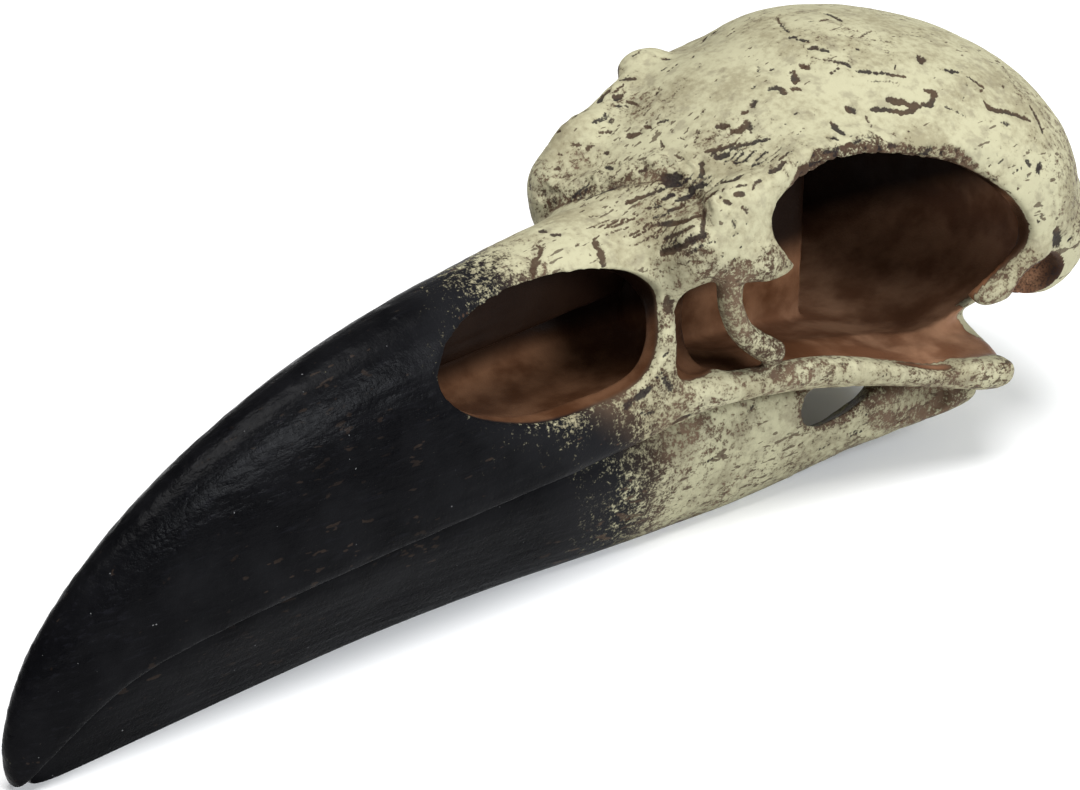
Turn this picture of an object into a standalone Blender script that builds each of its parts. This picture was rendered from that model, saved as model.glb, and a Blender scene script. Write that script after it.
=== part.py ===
"""A raven skull cast in resin, painted as bone with a black bill.

It is larger than life, hollow behind the nostrils and the eyes, and lies on its lower jaw at Z = 0.
The script works in metres, +Z up, with the bill along -X and the skull's left side facing -Y.
The sizes below are in millimetres. Places along the skull (back) are measured from the bill's tip.
"""

import bmesh
import bpy
import math
from mathutils import Vector

MM = 0.001

# The whole casting
LENGTH = 203.0
CENTRE_BACK = 101.0
PART_GAP = 0.36

# How finely the clay is remeshed and smoothed, and how many triangles each piece keeps
CLAY_VOXEL = 0.9
RIM_VOXEL = 0.75
CLAY_SMOOTHING = 8
RIM_SMOOTHING = 12
BILL_TRIANGLES = 3100
CRANIUM_TRIANGLES = 5400
CHEEK_TRIANGLES = 420
JAW_TRIANGLES = 2600
RING_POINTS = 40
LOFT_STEPS = 48
FAR = 60.0

# Upper bill: back, height of the ridge, height of the cutting edge, half width
UPPER_BILL = (
    (-1.2, 8.2, 6.0, 0.8),
    (0.0, 12.3, 1.5, 2.0),
    (5.0, 20.9, 5.6, 3.9),
    (17.0, 31.3, 13.2, 6.2),
    (35.0, 41.0, 17.0, 8.9),
    (60.0, 48.6, 19.4, 12.2),
    (90.0, 52.3, 21.2, 15.6),
    (121.0, 53.5, 24.5, 19.0),
)
BILL_FLANK_POWER = 2.15
BILL_RIDGE_POWER = 1.9

# Lower jaw: back, height of its lower line, half width at its top, half width at its bottom
LOWER_JAW = (
    (2.4, -2.0, 0.8, 0.4),
    (6.0, -2.4, 2.4, 0.9),
    (20.0, -2.4, 5.4, 1.2),
    (40.0, -2.4, 8.6, 1.4),
    (62.0, -2.4, 11.2, 2.5),
    (84.0, -2.4, 14.0, 5.7),
    (108.0, -2.4, 17.0, 11.2),
    (128.0, -2.6, 20.6, 15.0),
    (140.0, -1.8, 23.0, 16.4),
    (152.0, 1.6, 25.6, 20.6),
    (166.0, 5.0, 28.4, 25.8),
    (173.0, 7.6, 29.4, 28.0),
)
JAW_SIDE_SQUARENESS = 3.2
JAW_EDGE_SQUARENESS = 3.0
RAMUS_THICKNESS = 5.4
RAMI_MEET_BACK = 56.0
RAMI_PARTING = 30.0

# The seam where the upper bill and the cheek bars lie on the lower jaw: back, height
SEAM = (
    (-6.0, -4.0),
    (1.0, 2.0),
    (5.3, 5.8),
    (16.0, 12.8),
    (25.0, 15.5),
    (44.5, 18.0),
    (82.0, 20.9),
    (112.0, 21.6),
    (120.0, 24.6),
    (134.0, 23.2),
    (155.0, 19.0),
    (170.0, 14.6),
    (190.0, 11.0),
)

# Frontal bone between the hinge and the dome: back, underside, height of its middle, height of its edge, half width
FRONTAL = (
    (113.0, 43.0, 52.5, 48.6, 17.2),
    (120.0, 42.8, 55.8, 52.4, 19.8),
    (130.0, 46.8, 60.6, 57.8, 20.8),
    (136.0, 49.2, 63.8, 60.2, 21.2),
    (143.0, 51.2, 66.6, 61.9, 23.6),
    (152.0, 49.2, 68.6, 59.9, 25.2),
    (162.0, 45.0, 69.0, 55.8, 27.0),
)
FRONTAL_SQUARENESS = 3.4

# Braincase, an egg: back, half width, underside, top
BRAINCASE = (
    (140.0, 12.0, 34.0, 61.5),
    (146.0, 19.0, 30.0, 66.5),
    (152.0, 25.0, 26.0, 69.3),
    (160.0, 30.5, 22.0, 70.2),
    (168.0, 34.0, 19.5, 69.4),
    (176.0, 35.8, 18.5, 67.6),
    (184.0, 35.2, 19.0, 65.0),
    (192.0, 30.0, 22.0, 61.0),
    (198.0, 22.0, 27.0, 54.4),
    (202.0, 11.5, 33.0, 47.6),
    (203.0, 3.0, 38.0, 42.6),
)
BRAINCASE_SQUARENESS = 2.1

# Floor plate of the head: back, half width, underside, top
FLOOR_PLATE = (
    (114.0, 15.0, 18.0, 28.0),
    (130.0, 20.4, 17.0, 27.4),
    (145.0, 24.4, 15.0, 25.0),
    (160.0, 29.0, 12.0, 21.6),
    (172.0, 33.0, 11.0, 19.6),
    (176.0, 29.0, 11.5, 19.4),
    (180.0, 19.0, 13.0, 19.6),
)
FLOOR_SQUARENESS = 4.0

# Hollows: back, half width, floor, ceiling
BILL_HOLLOW = (
    (70.5, 2.5, 35.0, 40.0),
    (75.0, 6.4, 30.0, 42.0),
    (84.0, 9.6, 27.2, 44.6),
    (98.0, 12.4, 26.6, 45.6),
    (108.0, 12.8, 26.6, 45.0),
    (115.0, 9.4, 27.4, 43.0),
    (119.6, 4.0, 31.0, 40.0),
)
BILL_HOLLOW_SQUARENESS = 2.6
HEAD_HOLLOW = (
    (122.6, 6.0, 36.0, 44.0),
    (125.5, 14.0, 27.6, 51.0),
    (131.0, 17.4, 25.4, 56.4),
    (141.0, 22.0, 24.0, 62.0),
    (154.0, 26.0, 21.2, 63.4),
    (166.0, 30.0, 18.8, 60.4),
    (175.0, 31.6, 20.4, 56.0),
    (183.0, 28.6, 24.0, 50.6),
    (188.0, 18.0, 29.0, 44.6),
    (190.0, 6.0, 33.0, 40.0),
)
HEAD_HOLLOW_SQUARENESS = 2.8

# Wall between the eyes: back, half width, underside, top
SEPTUM = (
    (119.0, 1.7, 22.0, 48.0),
    (126.0, 1.8, 21.0, 54.0),
    (136.0, 1.8, 20.0, 60.0),
    (148.0, 1.8, 19.0, 64.4),
    (156.0, 1.7, 18.0, 65.0),
    (158.0, 1.4, 17.0, 65.0),
)
SEPTUM_SQUARENESS = 8.0

# Openings seen from the side: back, height
EYE_WINDOW = (
    (128.6, 51.2),
    (130.0, 55.2),
    (134.8, 57.6),
    (140.6, 59.8),
    (147.4, 59.6),
    (155.6, 57.4),
    (163.0, 54.6),
    (169.6, 49.4),
    (173.6, 44.0),
    (174.4, 39.6),
    (170.6, 36.0),
    (166.0, 32.2),
    (163.6, 28.6),
    (163.0, 22.0),
    (158.6, 21.0),
    (145.0, 26.0),
    (134.0, 28.4),
    (122.0, 29.6),
    (115.2, 29.4),
    (113.2, 31.6),
    (113.8, 36.0),
    (115.0, 41.2),
    (117.0, 45.4),
    (121.4, 45.2),
    (127.0, 44.2),
    (133.8, 43.9),
    (130.4, 47.4),
)
EYE_WINDOW_START = 15.0
REAR_GAP = (
    (158.0, 30.0),
    (168.0, 28.4),
    (178.0, 27.0),
    (192.0, 24.0),
    (192.0, 17.6),
    (180.0, 18.0),
    (171.0, 19.8),
    (160.0, 22.6),
)
REAR_GAP_START = 21.5
NOSTRIL = (
    (72.0, 40.6),
    (73.4, 44.4),
    (78.4, 47.6),
    (85.6, 49.4),
    (94.0, 49.9),
    (103.0, 49.0),
    (110.0, 46.9),
    (112.4, 44.0),
    (111.6, 39.2),
    (109.8, 34.8),
    (105.8, 31.6),
    (98.0, 30.6),
    (88.6, 30.9),
    (80.6, 33.2),
    (75.0, 36.4),
)
JAW_WINDOW = (
    (138.6, 16.6),
    (139.8, 20.2),
    (145.0, 20.8),
    (151.6, 19.4),
    (152.8, 16.6),
    (148.0, 14.4),
    (141.6, 14.2),
)
JAW_SIDE_OUT = 21.5
JAW_WINDOW_START = 9.0
JAW_WINDOW_LEAN = 0.7
JAW_RECESS = (
    (152.0, 15.6),
    (158.0, 16.2),
    (166.6, 13.2),
    (166.0, 9.6),
    (158.0, 9.8),
    (153.0, 11.8),
)
JAW_RECESS_START = 24.6

# Rods of clay, each point: back, half way out, height, radius
BROW = (
    (127.4, 19.4, 54.6, 2.2),
    (131.4, 19.0, 59.4, 2.1),
    (137.0, 19.8, 61.6, 2.0),
    (143.0, 22.0, 61.8, 2.0),
    (150.0, 24.0, 60.2, 2.0),
    (159.0, 26.6, 58.5, 2.1),
    (167.0, 29.2, 56.2, 2.2),
    (174.0, 31.8, 51.2, 2.4),
    (178.2, 33.4, 44.8, 2.7),
    (177.4, 34.0, 38.6, 2.7),
    (171.5, 32.8, 33.0, 2.7),
    (165.6, 31.2, 31.2, 2.0),
)
CHEEK = (
    (110.0, 15.4, 26.6, 2.8),
    (120.0, 18.4, 26.6, 2.8),
    (128.0, 20.8, 26.4, 2.7),
    (137.0, 23.2, 25.8, 2.7),
    (146.0, 25.8, 23.8, 2.7),
    (156.0, 28.8, 21.2, 2.7),
    (166.0, 32.0, 18.4, 2.8),
    (172.6, 34.0, 17.8, 3.1),
)
LACRIMAL_STRUT = (
    (121.4, 19.4, 46.4, 2.2),
    (121.2, 19.8, 41.6, 2.1),
    (122.8, 20.4, 37.0, 2.1),
    (126.0, 21.0, 33.6, 2.2),
    (130.2, 21.6, 30.4, 2.4),
)

# Round lumps of clay on each side: centre (back, half way out, height) and radii
LACRIMAL_BULGE = ((121.2, 16.2, 50.2), (8.4, 5.2, 6.8))
LACRIMAL_PLATE = ((125.4, 16.8, 52.4), (7.6, 4.8, 8.6))
LACRIMAL_POINT = ((128.4, 20.6, 47.2), (8.0, 3.2, 4.2))
EAR_SWELLING = ((185.0, 25.0, 36.0), (12.0, 10.0, 12.0))
EAR_HOLLOW = ((177.4, 34.8, 30.8), (6.4, 8.6, 5.4))
CHEEK_POCKET = ((119.4, 14.6, 36.4), (5.4, 4.4, 8.0))

# A knob on the right brow only: centre and radii, and how far round it the clay is smoothed over
BROW_KNOB = ((144.0, 22.2, 61.3), (5.6, 3.4, 3.2))
KNOB_REACH = 11.0
KNOB_SMOOTHING = 18

# Where the clay is smoothed over by hand: centre (back, half way out, height) and reach
SHOULDERS = (
    (119.0, 17.0, 53.0, 13.0),
    (127.0, 17.0, 59.0, 13.0),
    (136.0, 19.0, 62.5, 12.0),
    (146.0, 21.0, 62.5, 11.0),
    (157.0, 25.0, 60.5, 10.0),
)
SHOULDER_SMOOTHING = 60

# Middle of the skull's base: centre (back, height) and radii
BASE_BLOCK = ((173.0, 24.0), (17.0, 21.0, 10.0))
CONDYLE = ((193.0, 27.4), (3.2, 3.4, 2.8))
NECK_HOLE = ((199.0, 34.4), (7.0, 4.8, 4.6))

# The keel that hangs from the roof of the bill's hollow: ends, half thickness, height of its lower edge
KEEL = (70.0, 117.0)
KEEL_HALF_WIDTH = 1.6
KEEL_FOOT = 38.6
KEEL_TOP = 50.4

# The bowed hinge between the bill and the frontal bone: its place on the midline, and its bow
HINGE_BACK = 122.6
HINGE_BOW = 0.021
HINGE_BOW_REACH = 26.0

# Where the cheek bars part from the floor plate
CHEEK_CUT_INSET = 2.7
CHEEK_CUT_TOP = 29.8
CHEEK_START = 115.2
TOUCH = 0.06

BONE = (0.62, 0.58, 0.40)
BLACK_PAINT = (0.012, 0.012, 0.014)


def clear_scene():
    for thing in list(bpy.data.objects):
        bpy.data.objects.remove(thing)


def collection(name):
    found = bpy.data.collections.new(name)
    bpy.context.scene.collection.children.link(found)
    return found


def paint(name, colour, roughness):
    material = bpy.data.materials.new(name)
    material.use_nodes = True
    shader = material.node_tree.nodes["Principled BSDF"]
    shader.inputs["Base Color"].default_value = (*colour, 1.0)
    shader.inputs["Roughness"].default_value = roughness
    shader.inputs["Metallic"].default_value = 0.0
    return material


def place(back, out, height):
    """A point of the skull in metres, in the part's own frame."""
    return Vector(((back - CENTRE_BACK) * MM, out * MM, height * MM))


def flow(rows, at, column):
    """The value of one column at a place along the skull, flowing smoothly through the rows."""
    if at <= rows[0][0]:
        return rows[0][column]
    if at >= rows[-1][0]:
        return rows[-1][column]
    first = max(i for i in range(len(rows) - 1) if rows[i][0] <= at)

    def slope(i):
        before, after = rows[max(i - 1, 0)], rows[min(i + 1, len(rows) - 1)]
        return (after[column] - before[column]) / (after[0] - before[0])

    start, end = rows[first], rows[first + 1]
    span = end[0] - start[0]
    t = (at - start[0]) / span
    return (
        (2 * t**3 - 3 * t**2 + 1) * start[column]
        + (t**3 - 2 * t**2 + t) * span * slope(first)
        + (3 * t**2 - 2 * t**3) * end[column]
        + (t**3 - t**2) * span * slope(first + 1)
    )


def power(value, exponent):
    return math.copysign(abs(value) ** exponent, value)


def face_outwards(shape):
    bmesh.ops.recalc_face_normals(shape, faces=shape.faces)
    if shape.calc_volume(signed=True) < 0:
        bmesh.ops.reverse_faces(shape, faces=shape.faces)


def new_object(name, shape, home):
    mesh = bpy.data.meshes.new(name)
    shape.to_mesh(mesh)
    shape.free()
    made = bpy.data.objects.new(name, mesh)
    home.objects.link(made)
    return made


def stations(rows, steps=LOFT_STEPS):
    """Places along a table, closer together towards both of its ends."""
    start, end = rows[0][0], rows[-1][0]
    return [start + (end - start) * (1 - math.cos(math.pi * i / steps)) / 2 for i in range(steps + 1)]


def loft(name, places, ring_at, home):
    """A closed skin over rings that each lie across the skull."""
    shape = bmesh.new()
    rings = []
    for back in places:
        rings.append([shape.verts.new(place(back, out, height)) for out, height in ring_at(back)])
    count = len(rings[0])
    for ring, following in zip(rings, rings[1:]):
        for i in range(count):
            j = (i + 1) % count
            shape.faces.new((ring[i], ring[j], following[j], following[i]))
    shape.faces.new(rings[0])
    shape.faces.new(rings[-1])
    face_outwards(shape)
    return new_object(name, shape, home)


def turns():
    return [2 * math.pi * i / RING_POINTS for i in range(RING_POINTS)]


def oval(half_width, low, high, squareness):
    """A ring with flattened sides; a squareness of 2 is a true ellipse."""
    middle, half_height = (low + high) / 2, (high - low) / 2
    bend = 2 / squareness
    return [
        (half_width * power(math.cos(t), bend), middle + half_height * power(math.sin(t), bend))
        for t in turns()
    ]


def egg(name, centre, radii, home):
    """A ball of clay, stretched along the three axes."""
    shape = bmesh.new()
    bmesh.ops.create_uvsphere(shape, u_segments=36, v_segments=20, radius=1.0)
    bmesh.ops.scale(shape, vec=Vector(radii) * MM, verts=shape.verts)
    bmesh.ops.translate(shape, vec=place(*centre), verts=shape.verts)
    return new_object(name, shape, home)


def rod(name, points, side, home):
    """A round rod of clay through points that each have their own radius."""
    curve = bpy.data.curves.new(name, "CURVE")
    curve.dimensions = "3D"
    curve.bevel_depth = MM
    curve.bevel_resolution = 4
    curve.use_fill_caps = True
    steps = 4 * (len(points) - 1)
    rows = [(i, *point) for i, point in enumerate(points)]
    spline = curve.splines.new("POLY")
    spline.points.add(steps)
    for i, target in enumerate(spline.points):
        at = i * (len(points) - 1) / steps
        back, out, height, radius = (flow(rows, at, column) for column in (1, 2, 3, 4))
        target.co = (*place(back, side * out, height), 1.0)
        target.radius = radius
    guide = bpy.data.objects.new(name + "_curve", curve)
    home.objects.link(guide)
    bpy.context.view_layer.update()
    mesh = bpy.data.meshes.new_from_object(guide.evaluated_get(bpy.context.evaluated_depsgraph_get()))
    shape = bmesh.new()
    shape.from_mesh(mesh)
    bmesh.ops.remove_doubles(shape, verts=shape.verts, dist=0.01 * MM)
    bpy.data.objects.remove(guide)
    return new_object(name, shape, home)


def smooth_outline(points, steps=4):
    """A closed outline through the points, rounded between them."""
    count = len(points)
    outline = []
    for i in range(count):
        a, b, c, d = (Vector(points[(i + k) % count]) for k in (-1, 0, 1, 2))
        for step in range(steps):
            t = step / steps
            outline.append(
                (2 * b + (c - a) * t + (2 * a - 5 * b + 4 * c - d) * t**2 + (3 * b - a - 3 * c + d) * t**3) / 2
            )
    return outline


def window(name, outline, low_out, high_out, home, lean=0.0):
    """A plug with the outline of an opening, pushed through from the side; a leaning one drops on its way in."""
    shape = bmesh.new()
    rims = [
        [shape.verts.new(place(back, out, height + lean * (abs(out) - JAW_SIDE_OUT))) for back, height in smooth_outline(outline)]
        for out in (low_out, high_out)
    ]
    count = len(rims[0])
    for i in range(count):
        j = (i + 1) % count
        shape.faces.new((rims[0][i], rims[0][j], rims[1][j], rims[1][i]))
    shape.faces.new(rims[0])
    shape.faces.new(rims[1])
    face_outwards(shape)
    return new_object(name, shape, home)


def below_seam(name, drop, home):
    """Everything lower than the seam, or than a line a little below it."""
    places = [SEAM[0][0] + (SEAM[-1][0] + 20 - SEAM[0][0]) * i / 70 for i in range(71)]

    def ring(back):
        top = flow(SEAM, back, 1) - drop
        return [(-FAR, top), (FAR, top), (FAR, -FAR), (-FAR, -FAR)]

    return loft(name, places, ring, home)


def box(name, low, high, home):
    shape = bmesh.new()
    bmesh.ops.create_cube(shape, size=1.0)
    size = [(b - a) * MM for a, b in zip(low, high)]
    middle = [(a + b) / 2 for a, b in zip(low, high)]
    bmesh.ops.scale(shape, vec=size, verts=shape.verts)
    bmesh.ops.translate(shape, vec=place(*middle), verts=shape.verts)
    return new_object(name, shape, home)


def apply_modifiers(thing):
    bpy.context.view_layer.update()
    evaluated = thing.evaluated_get(bpy.context.evaluated_depsgraph_get())
    mesh = bpy.data.meshes.new_from_object(evaluated)
    thing.modifiers.clear()
    thing.data = mesh


def cut(thing, cutters, operation="DIFFERENCE"):
    """Cuts with the manifold solver: the exact one leaves some of a plug in clay as dense as this."""
    for cutter in cutters:
        boolean = thing.modifiers.new("cut", "BOOLEAN")
        boolean.operation = operation
        boolean.solver = "MANIFOLD"
        boolean.object = cutter
        apply_modifiers(thing)


def duplicate(thing, name, home):
    copy = bpy.data.objects.new(name, thing.data.copy())
    home.objects.link(copy)
    return copy


def join(name, pieces, home):
    """All the pieces' skins in one mesh; a remesh then makes one body of them."""
    shape = bmesh.new()
    for piece in pieces:
        shape.from_mesh(piece.data)
        bpy.data.objects.remove(piece)
    return new_object(name, shape, home)


def remesh(thing, voxel, smoothing):
    modifier = thing.modifiers.new("remesh", "REMESH")
    modifier.mode = "VOXEL"
    modifier.voxel_size = voxel * MM
    relax = thing.modifiers.new("relax", "SMOOTH")
    relax.factor = 0.5
    relax.iterations = smoothing
    apply_modifiers(thing)


def soften(thing, places, iterations):
    """Smooths the clay by hand round some places, alike on both sides."""
    group = thing.vertex_groups.new(name="soft")
    middles = [(place(back, out, height), reach * MM) for back, out, height, reach in places]
    for vertex in thing.data.vertices:
        at = Vector((vertex.co.x, abs(vertex.co.y), vertex.co.z))
        weight = max(2 - 2 * (at - middle).length / reach for middle, reach in middles)
        if weight > 0:
            group.add([vertex.index], min(weight, 1.0), "REPLACE")
    relax = thing.modifiers.new("soften", "SMOOTH")
    relax.factor = 0.5
    relax.iterations = iterations
    relax.vertex_group = "soft"
    apply_modifiers(thing)
    thing.vertex_groups.clear()


def thin_out(thing, triangles):
    """Fewer, larger triangles, small only where the skin bends."""
    thing.modifiers.new("triangles", "TRIANGULATE")
    count = sum(len(face.vertices) - 2 for face in thing.data.polygons)
    modifier = thing.modifiers.new("thin", "DECIMATE")
    modifier.ratio = triangles / count
    modifier.use_collapse_triangulate = True
    apply_modifiers(thing)


def mend(thing):
    """Takes out the few folded triangles that thinning can leave, and closes the holes again."""
    shape = bmesh.new()
    shape.from_mesh(thing.data)
    folded = [vertex for edge in shape.edges if not edge.is_manifold for vertex in edge.verts]
    if folded:
        bmesh.ops.delete(shape, geom=list(set(folded)), context="VERTS")
        rims = [edge for edge in shape.edges if edge.is_boundary]
        bmesh.ops.holes_fill(shape, edges=rims, sides=0)
        bmesh.ops.triangulate(shape, faces=shape.faces)
        face_outwards(shape)
        shape.to_mesh(thing.data)
    shape.free()


def keep_largest(thing):
    """Drops the scraps that a cut leaves, and keeps the largest closed body."""
    shape = bmesh.new()
    shape.from_mesh(thing.data)
    unseen = set(shape.verts)
    largest = []
    while unseen:
        stack = [unseen.pop()]
        island = list(stack)
        while stack:
            for edge in stack.pop().link_edges:
                for vertex in edge.verts:
                    if vertex in unseen:
                        unseen.discard(vertex)
                        stack.append(vertex)
                        island.append(vertex)
        if len(island) > len(largest):
            largest = island
    kept = set(largest)
    bmesh.ops.delete(shape, geom=[v for v in shape.verts if v not in kept], context="VERTS")
    shape.to_mesh(thing.data)
    shape.free()


def finish(thing, name, material, home):
    for group in list(thing.users_collection):
        group.objects.unlink(thing)
    home.objects.link(thing)
    thing.name = name
    thing.data.name = name
    thing.data.materials.clear()
    thing.data.materials.append(material)
    thing.data.shade_smooth()
    thing.data.set_sharp_from_angle(angle=math.radians(40))


def bill_ring(back):
    ridge, edge, half_width = (flow(UPPER_BILL, back, column) for column in (1, 2, 3))
    under = min(3.0, half_width)
    ring = []
    for t in turns():
        out = half_width * power(math.cos(t), 2 / BILL_FLANK_POWER)
        rise = power(math.sin(t), 2 / BILL_RIDGE_POWER)
        ring.append((out, edge + rise * ((ridge - edge) if rise > 0 else under)))
    return ring


def frontal_ring(back):
    low, middle, edge, half_width = (flow(FRONTAL, back, column) for column in (1, 2, 3, 4))
    ring = []
    for t in turns():
        out = half_width * power(math.cos(t), 2 / FRONTAL_SQUARENESS)
        share = 1 - (out / half_width) ** 2
        top = edge + (middle - edge) * share
        ring.append((out, low + (top - low) * (0.5 + 0.5 * power(math.sin(t), 2 / FRONTAL_SQUARENESS))))
    return ring


def jaw_ring(back):
    low, top_width, low_width = (flow(LOWER_JAW, back, column) for column in (1, 2, 3))
    high = flow(SEAM, back, 1) + 1.5
    ring = []
    for t in turns():
        rise = 0.5 + 0.5 * power(math.sin(t), 2 / JAW_EDGE_SQUARENESS)
        half_width = low_width + (top_width - low_width) * rise**0.9
        ring.append((half_width * power(math.cos(t), 2 / JAW_SIDE_SQUARENESS), low + (high - low) * rise))
    return ring


def between_rami_ring(back):
    """The space between the rami, which lean in towards the floor as the jaw's sides do."""
    share = min(1.0, (back - RAMI_MEET_BACK) / RAMI_PARTING)
    high = max(0.8, share * (flow(LOWER_JAW, back, 2) - RAMUS_THICKNESS))
    low = max(0.4, share * (flow(LOWER_JAW, back, 3) - RAMUS_THICKNESS))
    half = [(low, -FAR), (low, 0.0), (high, flow(SEAM, back, 1)), (high, FAR)]
    return half + [(-out, height) for out, height in reversed(half)]


def table_loft(name, rows, squareness, home, places=None):
    """A loft over a table of back, half width, low and high."""

    def ring(back):
        return oval(*(flow(rows, back, column) for column in (1, 2, 3)), squareness)

    return loft(name, places or stations(rows), ring, home)


def skull_clay(home):
    pieces = [
        loft("bill", stations(UPPER_BILL), bill_ring, home),
        loft("frontal", stations(FRONTAL), frontal_ring, home),
        table_loft("floor_plate", FLOOR_PLATE, FLOOR_SQUARENESS, home),
        table_loft("braincase", BRAINCASE, BRAINCASE_SQUARENESS, home),
        egg("base", (BASE_BLOCK[0][0], 0, BASE_BLOCK[0][1]), BASE_BLOCK[1], home),
    ]
    for side in (-1, 1):
        pieces.append(rod("brow", BROW, side, home))
        pieces.append(rod("cheek", CHEEK, side, home))
        for centre, radii in (LACRIMAL_BULGE, LACRIMAL_PLATE, LACRIMAL_POINT, EAR_SWELLING):
            back, out, height = centre
            pieces.append(egg("lump", (back, side * out, height), radii, home))
    clay = join("skull_clay", pieces, home)
    remesh(clay, CLAY_VOXEL, CLAY_SMOOTHING)
    soften(clay, SHOULDERS, SHOULDER_SMOOTHING)
    clay = join("skull_clay", [clay, egg("knob", *BROW_KNOB, home)], home)
    remesh(clay, CLAY_VOXEL, 1)
    soften(clay, [(*BROW_KNOB[0], KNOB_REACH)], KNOB_SMOOTHING)
    return clay


def hollow_skull(clay, cutters):
    tools = [
        table_loft("bill_hollow", BILL_HOLLOW, BILL_HOLLOW_SQUARENESS, cutters),
        table_loft("head_hollow", HEAD_HOLLOW, HEAD_HOLLOW_SQUARENESS, cutters),
        window("nostrils", NOSTRIL, -FAR, FAR, cutters),
        window("eye_windows", EYE_WINDOW, -FAR, -EYE_WINDOW_START, cutters),
        window("eye_windows", EYE_WINDOW, EYE_WINDOW_START, FAR, cutters),
        window("rear_gap", REAR_GAP, -FAR, -REAR_GAP_START, cutters),
        window("rear_gap", REAR_GAP, REAR_GAP_START, FAR, cutters),
        egg("neck_hole", (NECK_HOLE[0][0], 0, NECK_HOLE[0][1]), NECK_HOLE[1], cutters),
    ]
    for side in (-1, 1):
        for (back, out, height), radii in (EAR_HOLLOW, CHEEK_POCKET):
            tools.append(egg("pocket", (back, side * out, height), radii, cutters))
    cut(clay, tools)
    condyle = egg("condyle", (CONDYLE[0][0], 0, CONDYLE[0][1]), CONDYLE[1], cutters)
    keel = box("keel", (KEEL[0], -KEEL_HALF_WIDTH, KEEL_FOOT), (KEEL[1], KEEL_HALF_WIDTH, KEEL_TOP), cutters)
    septum = table_loft("septum", SEPTUM, SEPTUM_SQUARENESS, cutters)
    struts = [rod("strut", LACRIMAL_STRUT, side, cutters) for side in (-1, 1)]
    clay = join("skull_clay", [clay, condyle, keel, septum, *struts], cutters)
    remesh(clay, RIM_VOXEL, RIM_SMOOTHING)
    return clay


def jaw_clay(home):
    places = stations(LOWER_JAW)
    clay = loft("jaw_clay", places, jaw_ring, home)
    start = RAMI_MEET_BACK
    end = LOWER_JAW[-1][0] + 6
    gap_places = [start + (end - start) * i / LOFT_STEPS for i in range(LOFT_STEPS + 1)]
    tools = [
        loft("between_rami", gap_places, between_rami_ring, home),
        window("jaw_windows", JAW_WINDOW, -FAR, -JAW_WINDOW_START, home, JAW_WINDOW_LEAN),
        window("jaw_windows", JAW_WINDOW, JAW_WINDOW_START, FAR, home, JAW_WINDOW_LEAN),
        window("jaw_recess", JAW_RECESS, -FAR, -JAW_RECESS_START, home),
        window("jaw_recess", JAW_RECESS, JAW_RECESS_START, FAR, home),
    ]
    remesh(clay, CLAY_VOXEL, CLAY_SMOOTHING)
    cut(clay, tools)
    remesh(clay, RIM_VOXEL, RIM_SMOOTHING)
    return clay


def before_hinge(name, shift, home):
    """Everything in front of the bowed hinge between the bill and the head."""
    shape = bmesh.new()
    steps = 24
    outline = [(-FAR, FAR), (-FAR, -FAR)]
    for i in range(steps + 1):
        out = HINGE_BOW_REACH * (2 * i / steps - 1)
        outline.append((HINGE_BACK + shift - HINGE_BOW * out**2, out if 0 < i < steps else math.copysign(FAR, out)))
    levels = [[shape.verts.new(place(back, out, height)) for back, out in outline] for height in (-FAR, 2 * FAR)]
    count = len(outline)
    for i in range(count):
        j = (i + 1) % count
        shape.faces.new((levels[0][i], levels[0][j], levels[1][j], levels[1][i]))
    for level in levels:
        shape.faces.new(level)
    face_outwards(shape)
    return new_object(name, shape, home)


def beside_cheek(name, side, inset, start, home):
    """The block that holds one cheek bar, bounded on its inside by the bar's own bend."""
    rows = [(back, out) for back, out, _, _ in CHEEK]
    end = CHEEK[-1][0] + 8
    places = [start + (end - start) * i / 24 for i in range(25)]

    def ring(back):
        inner = side * (flow(rows, back, 1) - inset)
        top = CHEEK_CUT_TOP + inset - CHEEK_CUT_INSET
        return [(inner, 0.0), (inner, top), (side * FAR, top), (side * FAR, 0.0)]

    return loft(name, places, ring, home)


def settle(thing):
    """Lays the points that touch the floor exactly on it."""
    for vertex in thing.data.vertices:
        if abs(vertex.co.z) < TOUCH * MM:
            vertex.co.z = 0.0


def build():
    clear_scene()
    home = collection("raven_skull")
    cutters = collection("cutters")
    bone = paint("painted_bone", BONE, 0.55)
    black = paint("black_bill", BLACK_PAINT, 0.45)

    skull = hollow_skull(skull_clay(cutters), cutters)
    jaw = jaw_clay(cutters)
    floor = box("below_floor", (-FAR, -FAR, -FAR), (LENGTH + FAR, FAR, 0.0), cutters)
    cut(skull, [below_seam("seam_top", 0.0, cutters), floor])
    cut(jaw, [below_seam("seam_foot", PART_GAP, cutters)], "INTERSECT")
    cut(jaw, [floor])

    bill = duplicate(skull, "upper_bill", cutters)
    cut(bill, [before_hinge("hinge_front", 0.0, cutters)], "INTERSECT")
    cut(skull, [before_hinge("hinge_back", PART_GAP, cutters)])
    pieces = [
        (bill, "upper_bill", black, BILL_TRIANGLES),
        (jaw, "lower_jaw", bone, JAW_TRIANGLES),
    ]
    for side, label in ((-1, "left"), (1, "right")):
        cheek = duplicate(skull, "cheek", cutters)
        block = beside_cheek("cheek_side", side, CHEEK_CUT_INSET, CHEEK_START, cutters)
        gap_block = beside_cheek("cheek_gap", side, CHEEK_CUT_INSET + PART_GAP, CHEEK_START - 5, cutters)
        cut(cheek, [block], "INTERSECT")
        cut(skull, [gap_block])
        pieces.append((cheek, "cheek_bar_" + label, bone, CHEEK_TRIANGLES))
    pieces.append((skull, "cranium", bone, CRANIUM_TRIANGLES))
    for thing, name, material, triangles in pieces:
        keep_largest(thing)
        thin_out(thing, triangles)
        mend(thing)
        settle(thing)
        finish(thing, name, material, home)
    for tool in cutters.objects:
        tool.hide_render = True
        tool.display_type = "WIRE"


build()
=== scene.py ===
import math

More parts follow.
